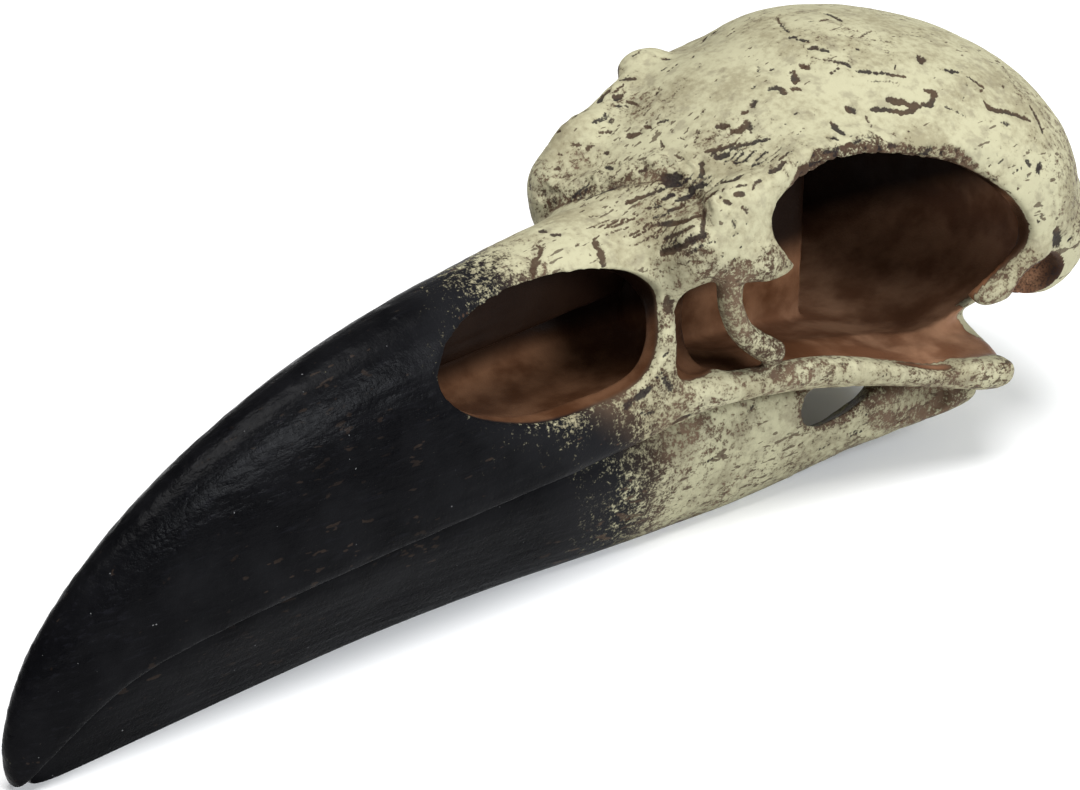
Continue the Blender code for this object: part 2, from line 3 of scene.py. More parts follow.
import bmesh
import bpy
import numpy as np
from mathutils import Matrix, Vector
from mathutils.bvhtree import BVHTree


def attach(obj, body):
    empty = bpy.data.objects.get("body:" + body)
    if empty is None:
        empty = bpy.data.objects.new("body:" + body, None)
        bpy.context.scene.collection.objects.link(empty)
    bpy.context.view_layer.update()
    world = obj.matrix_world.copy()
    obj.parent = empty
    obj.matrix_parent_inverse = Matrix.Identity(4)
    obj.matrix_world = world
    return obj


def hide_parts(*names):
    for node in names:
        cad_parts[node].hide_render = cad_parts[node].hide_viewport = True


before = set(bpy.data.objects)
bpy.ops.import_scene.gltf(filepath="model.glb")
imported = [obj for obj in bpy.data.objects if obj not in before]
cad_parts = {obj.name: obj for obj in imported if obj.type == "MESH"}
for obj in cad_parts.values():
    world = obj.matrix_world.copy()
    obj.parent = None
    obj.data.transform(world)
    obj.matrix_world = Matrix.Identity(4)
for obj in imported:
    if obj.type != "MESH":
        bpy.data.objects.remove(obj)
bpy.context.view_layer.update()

# Sizes are in millimetres. Places along the skull (back) are measured from the bill's tip.
MM = 0.001
CENTRE_BACK = 101.0
LENGTH = 203.0
FAR = 60.0
RING_POINTS = 64
LOFT_STEPS = 60

# How finely the cast is remeshed
CLAY_VOXEL = 0.9
SKIN_VOXEL = 0.4
CLAY_SMOOTHING = 8
SKIN_ROUNDING = 1.6

# Upper bill: back, height of the ridge, height of the cutting edge, half width
UPPER_BILL = (
    (-1.2, 8.2, 6.0, 0.8),
    (0.0, 12.3, 1.5, 2.0),
    (5.0, 20.9, 5.6, 3.9),
    (17.0, 31.3, 13.2, 6.2),
    (35.0, 41.0, 17.0, 8.9),
    (60.0, 48.6, 19.4, 12.2),
    (90.0, 52.3, 21.2, 15.6),
    (121.0, 53.5, 24.5, 19.0),
)
BILL_FLANK_POWER = 2.15
BILL_RIDGE_POWER = 1.9
FRONTAL_SQUARENESS = 3.4
JAW_EDGE_SQUARENESS = 3.0
JAW_SIDE_SQUARENESS = 3.2
FLOOR_SQUARENESS = 4.0
BRAINCASE_SQUARENESS = 2.1
BILL_HOLLOW_SQUARENESS = 2.6
HEAD_HOLLOW_SQUARENESS = 2.8
SEPTUM_SQUARENESS = 8.0

# Lower jaw: back, height of its lower line, half width at its top, half width at its bottom
LOWER_JAW = (
    (2.4, -2.0, 0.8, 0.4),
    (6.0, -2.4, 2.4, 0.9),
    (20.0, -2.4, 5.4, 1.2),
    (40.0, -2.4, 8.6, 1.4),
    (62.0, -2.4, 11.2, 2.5),
    (84.0, -2.4, 14.0, 5.7),
    (108.0, -2.4, 17.0, 11.2),
    (128.0, -2.6, 20.6, 15.0),
    (140.0, -1.8, 23.0, 16.4),
    (152.0, 1.6, 25.6, 20.6),
    (166.0, 5.0, 28.4, 25.8),
    (173.0, 7.6, 29.4, 28.0),
)
RAMUS_THICKNESS = 5.4
RAMI_MEET_BACK = 56.0
RAMI_PARTING = 30.0

# The seam where the upper bill and the cheek bars lie on the lower jaw: back, height
SEAM = (
    (-6.0, -4.0),
    (1.0, 2.0),
    (5.3, 5.8),
    (16.0, 12.8),
    (25.0, 15.5),
    (44.5, 18.0),
    (82.0, 20.9),
    (112.0, 21.6),
    (120.0, 24.6),
    (134.0, 23.2),
    (155.0, 19.0),
    (170.0, 14.6),
    (190.0, 11.0),
)
SEAM_GAP = 0.36

# Frontal bone between the bill and the dome:
# back, underside, height of its middle, height of its edge, half width
FRONTAL = (
    (113.0, 43.0, 52.5, 48.6, 17.2),
    (120.0, 42.8, 55.8, 52.4, 19.8),
    (130.0, 46.8, 60.6, 57.8, 20.8),
    (136.0, 49.2, 63.8, 60.2, 21.2),
    (143.0, 51.2, 66.6, 61.9, 23.6),
    (152.0, 49.2, 68.6, 59.9, 25.2),
    (162.0, 45.0, 69.0, 55.8, 27.0),
)

# Braincase, an egg: back, half width, underside, top
BRAINCASE = (
    (140.0, 12.0, 34.0, 61.5),
    (146.0, 19.0, 30.0, 66.5),
    (152.0, 25.0, 26.0, 69.3),
    (160.0, 30.5, 22.0, 70.2),
    (168.0, 34.0, 19.5, 69.4),
    (176.0, 35.8, 18.5, 67.6),
    (184.0, 35.2, 19.0, 65.0),
    (192.0, 30.0, 22.0, 61.0),
    (198.0, 22.0, 27.0, 54.4),
    (202.0, 11.5, 33.0, 47.6),
    (203.0, 3.0, 38.0, 42.6),
)

# Floor plate of the head: back, half width, underside, top
FLOOR_PLATE = (
    (114.0, 15.0, 18.0, 28.0),
    (130.0, 20.4, 17.0, 27.4),
    (145.0, 24.4, 15.0, 25.0),
    (160.0, 29.0, 12.0, 21.6),
    (172.0, 33.0, 11.0, 19.6),
    (176.0, 29.0, 11.5, 19.4),
    (180.0, 19.0, 13.0, 19.6),
)

# Hollows: back, half width, floor, ceiling
BILL_HOLLOW = (
    (70.5, 2.5, 35.0, 40.0),
    (75.0, 6.4, 30.0, 42.0),
    (84.0, 9.6, 27.2, 44.6),
    (98.0, 12.4, 26.6, 45.6),
    (108.0, 12.8, 26.6, 45.0),
    (115.0, 9.4, 27.4, 43.0),
    (119.6, 4.0, 31.0, 40.0),
)
HEAD_HOLLOW = (
    (122.6, 6.0, 36.0, 44.0),
    (125.5, 14.0, 27.6, 51.0),
    (131.0, 17.4, 25.4, 56.4),
    (141.0, 22.0, 24.0, 62.0),
    (154.0, 26.0, 21.2, 63.4),
    (166.0, 30.0, 18.8, 60.4),
    (175.0, 31.6, 20.4, 56.0),
    (183.0, 28.6, 24.0, 50.6),
    (188.0, 18.0, 29.0, 44.6),
    (190.0, 6.0, 33.0, 40.0),
)

# Wall between the eyes: back, half width, underside, top
SEPTUM = (
    (119.0, 1.7, 22.0, 48.0),
    (126.0, 1.8, 21.0, 54.0),
    (136.0, 1.8, 20.0, 60.0),
    (148.0, 1.8, 19.0, 64.4),
    (156.0, 1.7, 18.0, 65.0),
    (158.0, 1.4, 17.0, 65.0),
)

# Openings seen from the side: back, height
EYE_WINDOW = (
    (128.6, 51.2),
    (130.0, 55.2),
    (134.8, 57.6),
    (140.6, 59.8),
    (147.4, 59.6),
    (155.6, 57.4),
    (163.0, 54.6),
    (169.6, 49.4),
    (173.6, 44.0),
    (174.4, 39.6),
    (170.6, 36.0),
    (166.0, 32.2),
    (163.6, 28.6),
    (163.0, 22.0),
    (158.6, 21.0),
    (145.0, 26.0),
    (134.0, 28.4),
    (122.0, 29.6),
    (115.2, 29.4),
    (113.2, 31.6),
    (113.8, 36.0),
    (115.0, 41.2),
    (117.0, 45.4),
    (121.4, 45.2),
    (127.0, 44.2),
    (133.8, 43.9),
    (130.4, 47.4),
)
EYE_WINDOW_START = 15.0
REAR_GAP = (
    (158.0, 30.0),
    (168.0, 28.4),
    (178.0, 27.0),
    (192.0, 24.0),
    (192.0, 17.6),
    (180.0, 18.0),
    (171.0, 19.8),
    (160.0, 22.6),
)
REAR_GAP_START = 21.5
NOSTRIL = (
    (72.0, 40.6),
    (73.4, 44.4),
    (78.4, 47.6),
    (85.6, 49.4),
    (94.0, 49.9),
    (103.0, 49.0),
    (110.0, 46.9),
    (112.4, 44.0),
    (111.6, 39.2),
    (109.8, 34.8),
    (105.8, 31.6),
    (98.0, 30.6),
    (88.6, 30.9),
    (80.6, 33.2),
    (75.0, 36.4),
)
JAW_WINDOW = (
    (138.6, 16.6),
    (139.8, 20.2),
    (145.0, 20.8),
    (151.6, 19.4),
    (152.8, 16.6),
    (148.0, 14.4),
    (141.6, 14.2),
)
# How far out the jaw's side is there, where its windows' plugs start, and their drop for each mm inwards
JAW_SIDE_OUT = 21.5
JAW_WINDOW_START = 9.0
JAW_WINDOW_LEAN = 0.7
JAW_RECESS = (
    (152.0, 15.6),
    (158.0, 16.2),
    (166.6, 13.2),
    (166.0, 9.6),
    (158.0, 9.8),
    (153.0, 11.8),
)
JAW_RECESS_START = 24.6

# Rods of clay, each point: back, half way out, height, radius
BROW = (
    (127.4, 19.4, 54.6, 2.2),
    (131.4, 19.0, 59.4, 2.1),
    (137.0, 19.8, 61.6, 2.0),
    (143.0, 22.0, 61.8, 2.0),
    (150.0, 24.0, 60.2, 2.0),
    (159.0, 26.6, 58.5, 2.1),
    (167.0, 29.2, 56.2, 2.2),
    (174.0, 31.8, 51.2, 2.4),
    (178.2, 33.4, 44.8, 2.7),
    (177.4, 34.0, 38.6, 2.7),
    (171.5, 32.8, 33.0, 2.7),
    (165.6, 31.2, 31.2, 2.0),
)
CHEEK = (
    (110.0, 15.4, 26.6, 2.8),
    (120.0, 18.4, 26.6, 2.8),
    (128.0, 20.8, 26.4, 2.7),
    (137.0, 23.2, 25.8, 2.7),
    (146.0, 25.8, 23.8, 2.7),
    (156.0, 28.8, 21.2, 2.7),
    (166.0, 32.0, 18.4, 2.8),
    (172.6, 34.0, 17.8, 3.1),
)
LACRIMAL_STRUT = (
    (121.4, 19.4, 46.4, 2.2),
    (121.2, 19.8, 41.6, 2.1),
    (122.8, 20.4, 37.0, 2.1),
    (126.0, 21.0, 33.6, 2.2),
    (130.2, 21.6, 30.4, 2.4),
)

# Round lumps of clay on each side: centre (back, half way out, height) and radii
LACRIMAL_BULGE = ((121.2, 16.2, 50.2), (8.4, 5.2, 6.8))
LACRIMAL_PLATE = ((125.4, 16.8, 52.4), (7.6, 4.8, 8.6))
LACRIMAL_POINT = ((128.4, 20.6, 47.2), (8.0, 3.2, 4.2))
EAR_SWELLING = ((185.0, 25.0, 36.0), (12.0, 10.0, 12.0))
EAR_HOLLOW = ((177.4, 34.8, 30.8), (6.4, 8.6, 5.4))
CHEEK_POCKET = ((119.4, 14.6, 36.4), (5.4, 4.4, 8.0))

# A knob on the right brow only: centre and radii, and how far round it the clay is smoothed over
BROW_KNOB = ((144.0, 22.2, 61.3), (5.6, 3.4, 3.2))
KNOB_REACH = 11.0
KNOB_SMOOTHING = 18

# Where the clay is smoothed over by hand: centre (back, half way out, height) and reach
SHOULDERS = (
    (119.0, 17.0, 53.0, 13.0),
    (127.0, 17.0, 59.0, 13.0),
    (136.0, 19.0, 62.5, 12.0),
    (146.0, 21.0, 62.5, 11.0),
    (157.0, 25.0, 60.5, 10.0),
)
SHOULDER_SMOOTHING = 60

# How deep below the outer skin the bone paint gives way to the dark of the hollows
SKIN_DEPTH = 1.1

# The room between the eyes: back, half width, floor, ceiling
EYE_ROOM = (
    (114.6, 12.0, 26.0, 44.0),
    (118.0, 16.2, 24.5, 46.0),
    (126.0, 18.8, 22.0, 50.0),
    (140.0, 22.6, 20.0, 57.0),
    (158.0, 28.4, 16.0, 59.0),
    (168.0, 31.6, 14.6, 55.0),
    (176.0, 33.0, 14.4, 48.0),
)

# Marks that lie wholly further out than this on the left are worked on the right too
MIRROR_FROM = -17.0

# Middle of the skull's base: centre (back, height) and radii
BASE_BLOCK = ((173.0, 24.0), (17.0, 21.0, 10.0))
CONDYLE = ((193.0, 27.4), (3.2, 3.4, 2.8))
NECK_HOLE = ((199.0, 34.4), (7.0, 4.8, 4.6))

# The keel that hangs from the roof of the bill's hollow: ends, half thickness, height of its lower edge
KEEL = (70.0, 117.0)
KEEL_HALF_WIDTH = 1.6
KEEL_FOOT = 38.6
KEEL_TOP = 50.4

# The crease in front of the frontal bone and the rolled ridge behind it: back, out, height
CREASE = (
    (111.6, 14.0, 46.0),
    (112.6, 11.5, 50.0),
    (114.6, 7.0, 53.6),
    (119.0, 2.0, 55.4),
    (122.4, -3.0, 57.4),
    (122.6, -8.0, 57.2),
    (121.2, -13.0, 56.2),
    (119.2, -16.4, 54.4),
    (118.6, -18.4, 52.4),
)
CREASE_DEPTH = 0.8
RIDGE_RISE = 0.75

# Pits in the skin: how many, the seed of their places, their smallest and largest radius, and their depth
BONE_PITS = (420, 3, (0.16, 0.42), 0.25)
BILL_PITS = (60, 4, (0.15, 0.35), 0.15)
JAW_PITS = (160, 8, (0.2, 0.5), 0.3)

# Marks worked into the clay: half width, depth, darkness, then points (back, out, height)
STROKES = (
    (0.23, 0.35, 1, (116.1, -2.1, 53.9), (118.1, -3.3, 54.9), (121.0, -5.4, 56.0)),
    (0.15, 0.2, 0.7, (117.0, -5.5, 54.0), (118.4, -7.3, 54.6)),
    (0.35, 0.5, 1, (116.1, -9.4, 53.1), (116.9, -11.3, 53.8), (117.2, -13.7, 55.2), (118.3, -15.0, 56.2)),
    (0.23, 0.3, 0.8, (114.6, -11.6, 52.0), (115.0, -13.9, 53.6), (116.2, -16.2, 55.4)),
    (0.38, 0.6, 1, (113.1, -12.5, 50.1), (113.3, -15.0, 51.8), (114.0, -17.0, 53.3), (116.0, -18.4, 54.5)),
    (0.23, 0.3, 0.9, (118.4, -9.0, 54.4), (120.2, -10.4, 55.3)),
    (0.31, 0.4, 1, (120.4, -8.7, 55.3), (121.8, -9.5, 56.0), (123.4, -9.1, 56.6)),
    (0.15, 0.2, 0.6, (116.4, -7.7, 53.4), (118.1, -9.4, 54.1)),
    (0.23, 0.2, 0.8, (114.1, 5.0, 52.9), (116.3, 3.6, 54.0), (117.9, 2.6, 54.7)),
    (0.17, 0.2, 0.7, (114.0, 8.7, 51.9), (115.5, 7.6, 53.1), (117.2, 7.1, 54.0)),
    (0.15, 0.15, 0.6, (114.4, 7.1, 52.6), (116.8, 6.2, 53.8)),
    (0.23, 0.3, 0.8, (119.6, -6.6, 55.2), (121.0, -7.7, 55.8)),
    (0.17, 0.2, 0.6, (113.2, -17.4, 51.0), (115.4, -19.3, 52.9)),
    (0.15, 0.15, 0.6, (114.9, -8.4, 52.5), (115.9, -9.2, 52.9)),
    (0.19, 0.2, 0.7, (122.2, -6.1, 56.6), (124.4, -7.7, 57.4)),
    (0.15, 0.2, 0.5, (112.7, -14.9, 47.9), (113.6, -18.5, 50.6)),
    (0.23, 0.4, 1, (127.6, -6.9, 59.2), (125.7, -9.0, 57.9)),
    (0.38, 0.5, 1, (123.8, -9.8, 56.9), (124.5, -10.5, 57.3)),
    (0.46, 0.5, 1, (120.7, -14.1, 57.2), (121.6, -14.2, 57.8), (122.4, -14.9, 58.7)),
    (0.35, 0.45, 1, (125.1, -13.3, 58.7), (125.1, -15.7, 59.8), (127.6, -15.4, 59.8)),
    (0.31, 0.4, 1, (129.2, -8.4, 59.7), (130.5, -9.7, 60.2)),
    (0.2, 0.25, 0.9, (129.3, -6.2, 59.9), (130.7, -7.9, 60.5), (132.6, -9.2, 61.2)),
    (0.23, 0.3, 0.9, (131.8, -9.7, 60.8), (132.7, -10.1, 61.1), (134.6, -11.7, 61.7), (136.1, -12.9, 62.2)),
    (0.15, 0.15, 0.6, (130.7, -4.3, 60.7), (132.6, -6.1, 61.7)),
    (0.62, 0.35, 0.8, (133.5, -4.6, 62.3), (134.2, -5.8, 62.7)),
    (0.62, 0.35, 0.8, (133.7, -7.4, 62.1), (134.9, -8.2, 62.7), (136.3, -8.0, 63.4)),
    (0.46, 0.3, 0.7, (135.3, -9.7, 62.6), (136.0, -8.6, 63.2)),
    (0.19, 0.2, 0.7, (129.9, -11.8, 59.5), (131.2, -12.9, 60.0)),
    (0.31, 0.3, 0.8, (130.7, -14.4, 59.8), (131.6, -15.0, 60.0)),
    (0.31, 0.4, 1, (130.4, -18.6, 60.1), (131.7, -19.0, 60.8), (133.2, -19.0, 61.3)),
    (0.18, 0.2, 0.7, (123.8, -17.8, 59.6), (125.6, -18.4, 59.7)),
    (0.31, 0.3, 1, (123.2, -18.7, 58.7), (123.9, -19.0, 58.6)),
    (0.23, 0.25, 0.8, (121.2, -17.9, 58.1), (121.7, -18.9, 57.8)),
    (0.38, 0.2, 0.6, (123.3, -20.1, 56.9), (123.5, -20.4, 56.4)),
    (0.35, 0.2, 0.5, (121.1, -20.1, 55.4), (121.2, -20.5, 54.9)),
    (0.18, 0.2, 0.7, (125.9, -19.4, 58.8), (127.0, -18.8, 59.6), (128.3, -18.7, 59.6)),
    (0.23, 0.25, 0.8, (137.1, -6.2, 63.9), (138.0, -6.6, 64.3)),
    (0.38, 0.3, 0.7, (139.0, -6.5, 64.8), (139.8, -6.1, 65.1)),
    (0.15, 0.15, 0.5, (131.4, -8.0, 60.8), (132.7, -9.2, 61.4)),
    (0.77, 0.9, 1, (122.4, -3.7, 56.9), (123.1, -4.3, 57.0), (123.9, -5.7, 57.4)),
    (0.38, 0.5, 1, (121.7, -4.8, 56.4), (122.5, -6.2, 56.7)),
    (0.38, 0.5, 0.8, (119.4, -14.7, 56.8), (117.0, -17.5, 55.7), (116.0, -18.8, 54.2)),
    (0.31, 0.4, 0.45, (116.9, 4.2, 54.1), (118.8, 1.8, 55.2), (120.8, -1.7, 56.2), (122.3, -3.8, 56.8)),
    (0.35, 0.5, 1, (156.4, -18.8, 64.6), (157.4, -19.8, 64.3), (158.5, -20.4, 64.0),
     (159.2, -21.2, 63.7), (161.3, -22.4, 63.3), (162.5, -22.7, 63.2)),
    (0.23, 0.35, 1, (153.2, -18.5, 63.9), (155.1, -19.6, 63.5), (157.5, -21.6, 62.9),
     (158.8, -21.9, 63.0), (160.0, -22.0, 63.3)),
    (0.31, 0.4, 1, (163.2, -20.6, 64.7), (164.4, -21.4, 64.4), (164.5, -22.0, 64.0)),
    (0.27, 0.35, 0.9, (164.0, -21.8, 64.0), (162.7, -22.6, 63.3)),
    (0.25, 0.4, 1, (172.5, -25.2, 61.6), (172.5, -26.2, 60.9), (174.1, -27.0, 60.1),
     (176.0, -27.5, 59.4), (177.7, -28.2, 58.5), (179.6, -29.0, 57.3)),
    (0.19, 0.25, 0.8, (182.5, -26.5, 58.4), (181.8, -28.4, 57.1), (180.9, -30.5, 55.5)),
    (0.23, 0.3, 0.9, (170.4, -18.6, 65.4), (172.5, -19.4, 64.9)),
    (0.23, 0.3, 0.8, (173.6, -20.6, 64.1), (174.5, -22.3, 63.0), (174.8, -22.9, 62.7)),
    (0.15, 0.15, 0.6, (164.3, -23.7, 62.6), (165.2, -24.5, 62.1), (166.6, -26.1, 61.0)),
    (0.54, 0.5, 0.8, (169.1, -14.5, 67.3), (167.6, -16.0, 67.0)),
    (0.69, 0.5, 0.9, (149.8, -16.6, 64.6), (150.5, -17.7, 64.1)),
    (0.35, 0.35, 0.9, (145.2, -17.7, 63.8), (144.9, -19.0, 63.5), (144.8, -20.5, 63.2)),
    (0.18, 0.2, 0.6, (151.6, -19.0, 63.4), (150.9, -20.7, 62.7)),
    (0.23, 0.2, 0.7, (142.5, -20.2, 63.1), (142.9, -21.0, 63.0)),
    (0.54, 0.35, 0.9, (153.9, -4.4, 69.5), (155.1, -4.8, 69.6)),
    (0.46, 0.3, 0.8, (154.9, -5.4, 69.5), (155.6, -6.9, 69.4)),
    (0.38, 0.3, 0.8, (154.4, 0.3, 69.8), (155.4, -0.3, 69.9)),
    (0.31, 0.3, 0.9, (154.8, -0.9, 69.9), (155.4, -2.6, 69.9)),
    (0.2, 0.2, 0.7, (160.8, 9.0, 69.4), (157.6, 5.0, 69.8), (155.9, 1.9, 70.0)),
    (0.38, 0.3, 0.9, (150.4, -6.0, 68.3), (150.5, -7.4, 68.0)),
    (0.5, 0.3, 0.8, (148.7, -6.3, 67.7), (147.0, -8.2, 67.0)),
    (0.31, 0.3, 0.8, (145.6, -8.6, 66.6), (146.4, -9.8, 66.5)),
    (0.23, 0.25, 0.8, (154.4, -9.3, 68.6), (155.5, -10.6, 68.4), (155.6, -11.8, 68.1)),
    (0.17, 0.15, 0.8, (155.6, -12.9, 67.7), (158.7, -15.1, 67.2), (162.1, -17.6, 66.4)),
    (0.15, 0.15, 0.6, (152.4, -5.2, 69.0), (153.2, -7.4, 68.7), (154.4, -8.9, 68.7)),
    (0.31, 0.25, 0.7, (167.3, 4.6, 69.4), (166.6, 1.8, 69.7), (165.9, -0.5, 69.8)),
    (0.31, 0.2, 0.7, (162.8, 1.4, 70.1), (164.9, 1.4, 69.9)),
    (0.14, 0.12, 0.6, (163.3, -6.7, 69.6), (167.5, -5.5, 69.3)),
    (0.14, 0.12, 0.5, (163.8, -3.1, 70.0), (164.8, -5.3, 69.7)),
    (0.14, 0.12, 0.5, (160.5, -3.9, 70.1), (164.0, -7.7, 69.4), (167.7, -10.2, 68.6)),
    (0.46, 0.25, 0.7, (143.2, -6.2, 66.3), (144.3, -6.9, 66.6)),
    (0.31, 0.2, 0.6, (142.0, -3.6, 66.2), (142.4, -3.8, 66.2)),
    (0.27, 0.2, 0.7, (146.6, -3.1, 67.5), (147.2, -3.1, 67.6)),
    (0.38, 0.25, 0.7, (144.2, -7.6, 66.5), (144.1, -8.6, 66.3)),
    (0.38, 0.2, 0.5, (146.4, -0.6, 67.4), (145.5, -1.8, 67.2)),
    (0.15, 0.15, 0.5, (156.0, -15.1, 66.6), (159.9, -17.8, 66.1)),
    (0.15, 0.15, 0.5, (171.6, -7.8, 68.2), (176.0, -9.4, 66.9)),
    (0.19, 0.2, 0.6, (172.9, -28.5, 58.9), (174.2, -29.1, 58.4)),
    (0.38, 0.3, 0.7, (177.2, -33.4, 52.2), (175.6, -34.2, 51.2)),
    (0.27, 0.3, 0.7, (174.1, -33.0, 53.5), (174.5, -33.5, 52.7)),
    (0.31, 0.35, 1, (136.0, 19.4, 62.4), (137.6, 17.7, 62.4)),
    (0.46, 0.4, 1, (132.5, 17.2, 60.8), (133.6, 16.5, 61.0)),
    (0.42, 0.35, 0.9, (126.9, 8.7, 58.6), (127.3, 7.8, 58.9), (128.0, 6.8, 59.4)),
    (0.38, 0.25, 0.6, (125.7, 14.7, 59.4), (127.6, 14.6, 59.4), (129.2, 15.3, 59.8)),
    (0.31, 0.2, 0.6, (128.1, 13.3, 59.2), (128.9, 13.7, 59.3)),
    (0.27, 0.25, 0.8, (129.5, 7.4, 59.9), (129.5, 5.7, 60.1)),
    (0.23, 0.25, 0.8, (130.4, 5.5, 60.7), (131.3, 4.4, 61.3)),
    (0.23, 0.2, 0.7, (125.2, 12.8, 58.2), (126.8, 11.7, 58.3)),
    (0.2, 0.2, 0.8, (133.2, 15.1, 60.6), (133.0, 12.7, 60.8)),
    (0.17, 0.15, 0.7, (131.5, 15.6, 60.0), (132.4, 14.3, 60.3)),
    (0.23, 0.2, 0.7, (120.5, 14.2, 57.1), (121.6, 13.5, 57.1)),
    (0.23, 0.2, 0.7, (122.1, 12.4, 56.6), (122.5, 12.4, 56.9)),
    (0.31, 0.25, 0.8, (123.1, 9.5, 56.6), (123.3, 9.0, 56.7)),
    (0.22, 0.2, 0.7, (116.6, 13.5, 54.6), (116.9, 13.3, 54.6)),
    (0.31, 0.2, 0.7, (120.8, 7.1, 55.9), (120.7, 5.5, 55.9)),
    (0.23, 0.2, 0.7, (122.0, 0.6, 56.8), (122.5, -0.2, 57.0)),
    (0.19, 0.2, 0.7, (127.9, 2.3, 59.6), (127.0, 0.7, 59.2)),
    (0.18, 0.2, 0.6, (129.3, -0.2, 60.3), (129.5, -1.3, 60.3)),
    (0.2, 0.2, 0.6, (126.7, -2.2, 58.9), (126.5, -4.3, 58.8)),
    (0.31, 0.25, 0.6, (113.6, 14.1, 51.7), (113.5, 13.4, 51.1)),
    (0.23, 0.2, 0.6, (114.0, 11.5, 51.4), (113.5, 11.1, 50.9)),
    (0.17, 0.2, 0.6, (116.2, 12.4, 53.7), (117.9, 10.8, 54.2)),
    (0.42, 0.35, 0.9, (102.0, 1.9, 52.8), (102.0, 0.6, 52.9)),
    (0.28, 0.25, 0.8, (102.0, -0.9, 52.9), (102.6, -1.5, 52.9)),
    (0.38, 0.35, 0.75, (98.3, -1.3, 52.7), (98.3, -2.4, 52.4), (96.9, -3.5, 52.1)),
    (0.46, 0.4, 0.75, (96.4, -3.7, 52.0), (94.9, -4.7, 51.4), (93.7, -5.8, 50.7)),
    (0.38, 0.4, 0.75, (106.7, -5.1, 51.8), (106.5, -6.4, 51.2), (105.9, -7.6, 50.1), (105.3, -8.7, 49.2)),
    (0.2, 0.2, 0.6, (110.3, -0.4, 53.2), (111.3, -1.0, 53.3)),
    (1.08, 0.5, 0.7, (113.1, -14.5, 43.0), (113.9, -13.9, 40.8)),
    (0.54, 0.3, 0.7, (104.8, -15.1, 29.7), (106.3, -15.7, 30.3), (107.7, -16.4, 30.9)),
    (0.77, 0.35, 0.7, (111.6, -17.4, 23.0), (113.2, -18.2, 23.7), (114.7, -18.2, 23.7)),
    (0.54, 0.3, 0.6, (110.1, -17.0, 31.7), (111.2, -17.6, 29.6)),
    (0.31, 0.2, 0.6, (105.1, -17.0, 27.3), (107.9, -17.4, 26.9)),
    (0.62, 0.3, 0.6, (102.9, -15.3, 29.3), (103.7, -15.8, 29.5)),
    (1.31, 0.6, 0.8, (178.9, -36.3, 40.7), (181.7, -35.1, 37.0)),
)

# Brown wash left showing round some places on both sides: back, half way out, height, reach, amount
WASHES = (
    (190.0, 28.0, 46.0, 20.0, 0.38),
    (91.0, 12.0, 49.5, 11.0, 0.45),
    (113.6, 14.3, 38.0, 7.0, 0.42),
    (110.0, 17.5, 28.5, 8.0, 0.5),
    (116.0, 19.6, 27.5, 7.0, 0.38),
    (101.0, 16.4, 26.5, 9.0, 0.52),
    (127.0, 21.0, 46.6, 6.0, 0.5),
    (121.5, 20.0, 46.0, 5.0, 0.45),
    (121.0, 0.0, 57.0, 9.0, 0.34),
    (117.5, 9.0, 55.0, 8.0, 0.4),
    (113.5, 17.0, 50.0, 8.0, 0.42),
    (132.5, 9.0, 62.0, 9.0, 0.36),
    (134.0, 16.0, 61.0, 7.0, 0.28),
    (160.0, 6.0, 69.0, 12.0, 0.24),
    (188.0, 24.0, 58.0, 12.0, 0.3),
    (184.0, 35.0, 44.0, 9.0, 0.32),
    (167.0, 32.0, 33.0, 9.0, 0.5),
    (173.0, 33.0, 36.0, 6.0, 0.5),
    (143.0, 27.3, 24.0, 9.0, 0.34),
    (160.0, 32.0, 19.0, 9.0, 0.36),
    (128.0, 22.0, 26.0, 9.0, 0.34),
)

# Rows of fine cuts beside the crease and on the forehead: first place, last place, how many, how long
HATCHES = (
    ((110.5, -3.0, 54.5), (116.0, -17.0, 51.5), 13, 4.6),
    ((121.0, -3.0, 58.0), (126.0, -14.0, 58.0), 9, 3.4),
    ((129.0, -8.0, 61.0), (135.0, -18.0, 60.5), 9, 3.4),
)

# Black paint on the bill and the jaw: height, how far back it reaches; and the length over which it fades
BLACK_REACH = (
    (-5.0, 105.5),
    (10.0, 104.5),
    (20.0, 102.0),
    (28.0, 94.0),
    (36.0, 84.0),
    (44.0, 81.0),
    (52.0, 86.0),
    (60.0, 88.5),
)
BLACK_FADE = 28.0

# The camera: its place, the direction it looks back along, and its lens
CAMERA_BACK, CAMERA_OUT, CAMERA_HEIGHT = -200.62, -320.32, 258.89
CAMERA_TURN = -43.21686243
CAMERA_TILT = 27.93419225
IMAGE_WIDTHS_DEEP = 3.0
SENSOR = 36.0


def place(back, out, height):
    """A point of the skull in metres, in the part's own frame."""
    return Vector(((back - CENTRE_BACK) * MM, out * MM, height * MM))


def flow(rows, at, column):
    """The value of one column at a place along the skull, flowing smoothly through the rows."""
    if at <= rows[0][0]:
        return rows[0][column]
    if at >= rows[-1][0]:
        return rows[-1][column]
    first = max(i for i in range(len(rows) - 1) if rows[i][0] <= at)

    def slope(i):
        before, after = rows[max(i - 1, 0)], rows[min(i + 1, len(rows) - 1)]
        return (after[column] - before[column]) / (after[0] - before[0])

    start, end = rows[first], rows[first + 1]
    span = end[0] - start[0]
    t = (at - start[0]) / span
    return (
        (2 * t**3 - 3 * t**2 + 1) * start[column]
        + (t**3 - 2 * t**2 + t) * span * slope(first)
        + (3 * t**2 - 2 * t**3) * end[column]
        + (t**3 - t**2) * span * slope(first + 1)
    )


def power(value, exponent):
    return math.copysign(abs(value) ** exponent, value)


def face_outwards(shape):
    bmesh.ops.recalc_face_normals(shape, faces=shape.faces)
    if shape.calc_volume(signed=True) < 0:
        bmesh.ops.reverse_faces(shape, faces=shape.faces)


workshop = bpy.data.collections.new("workshop")
bpy.context.scene.collection.children.link(workshop)


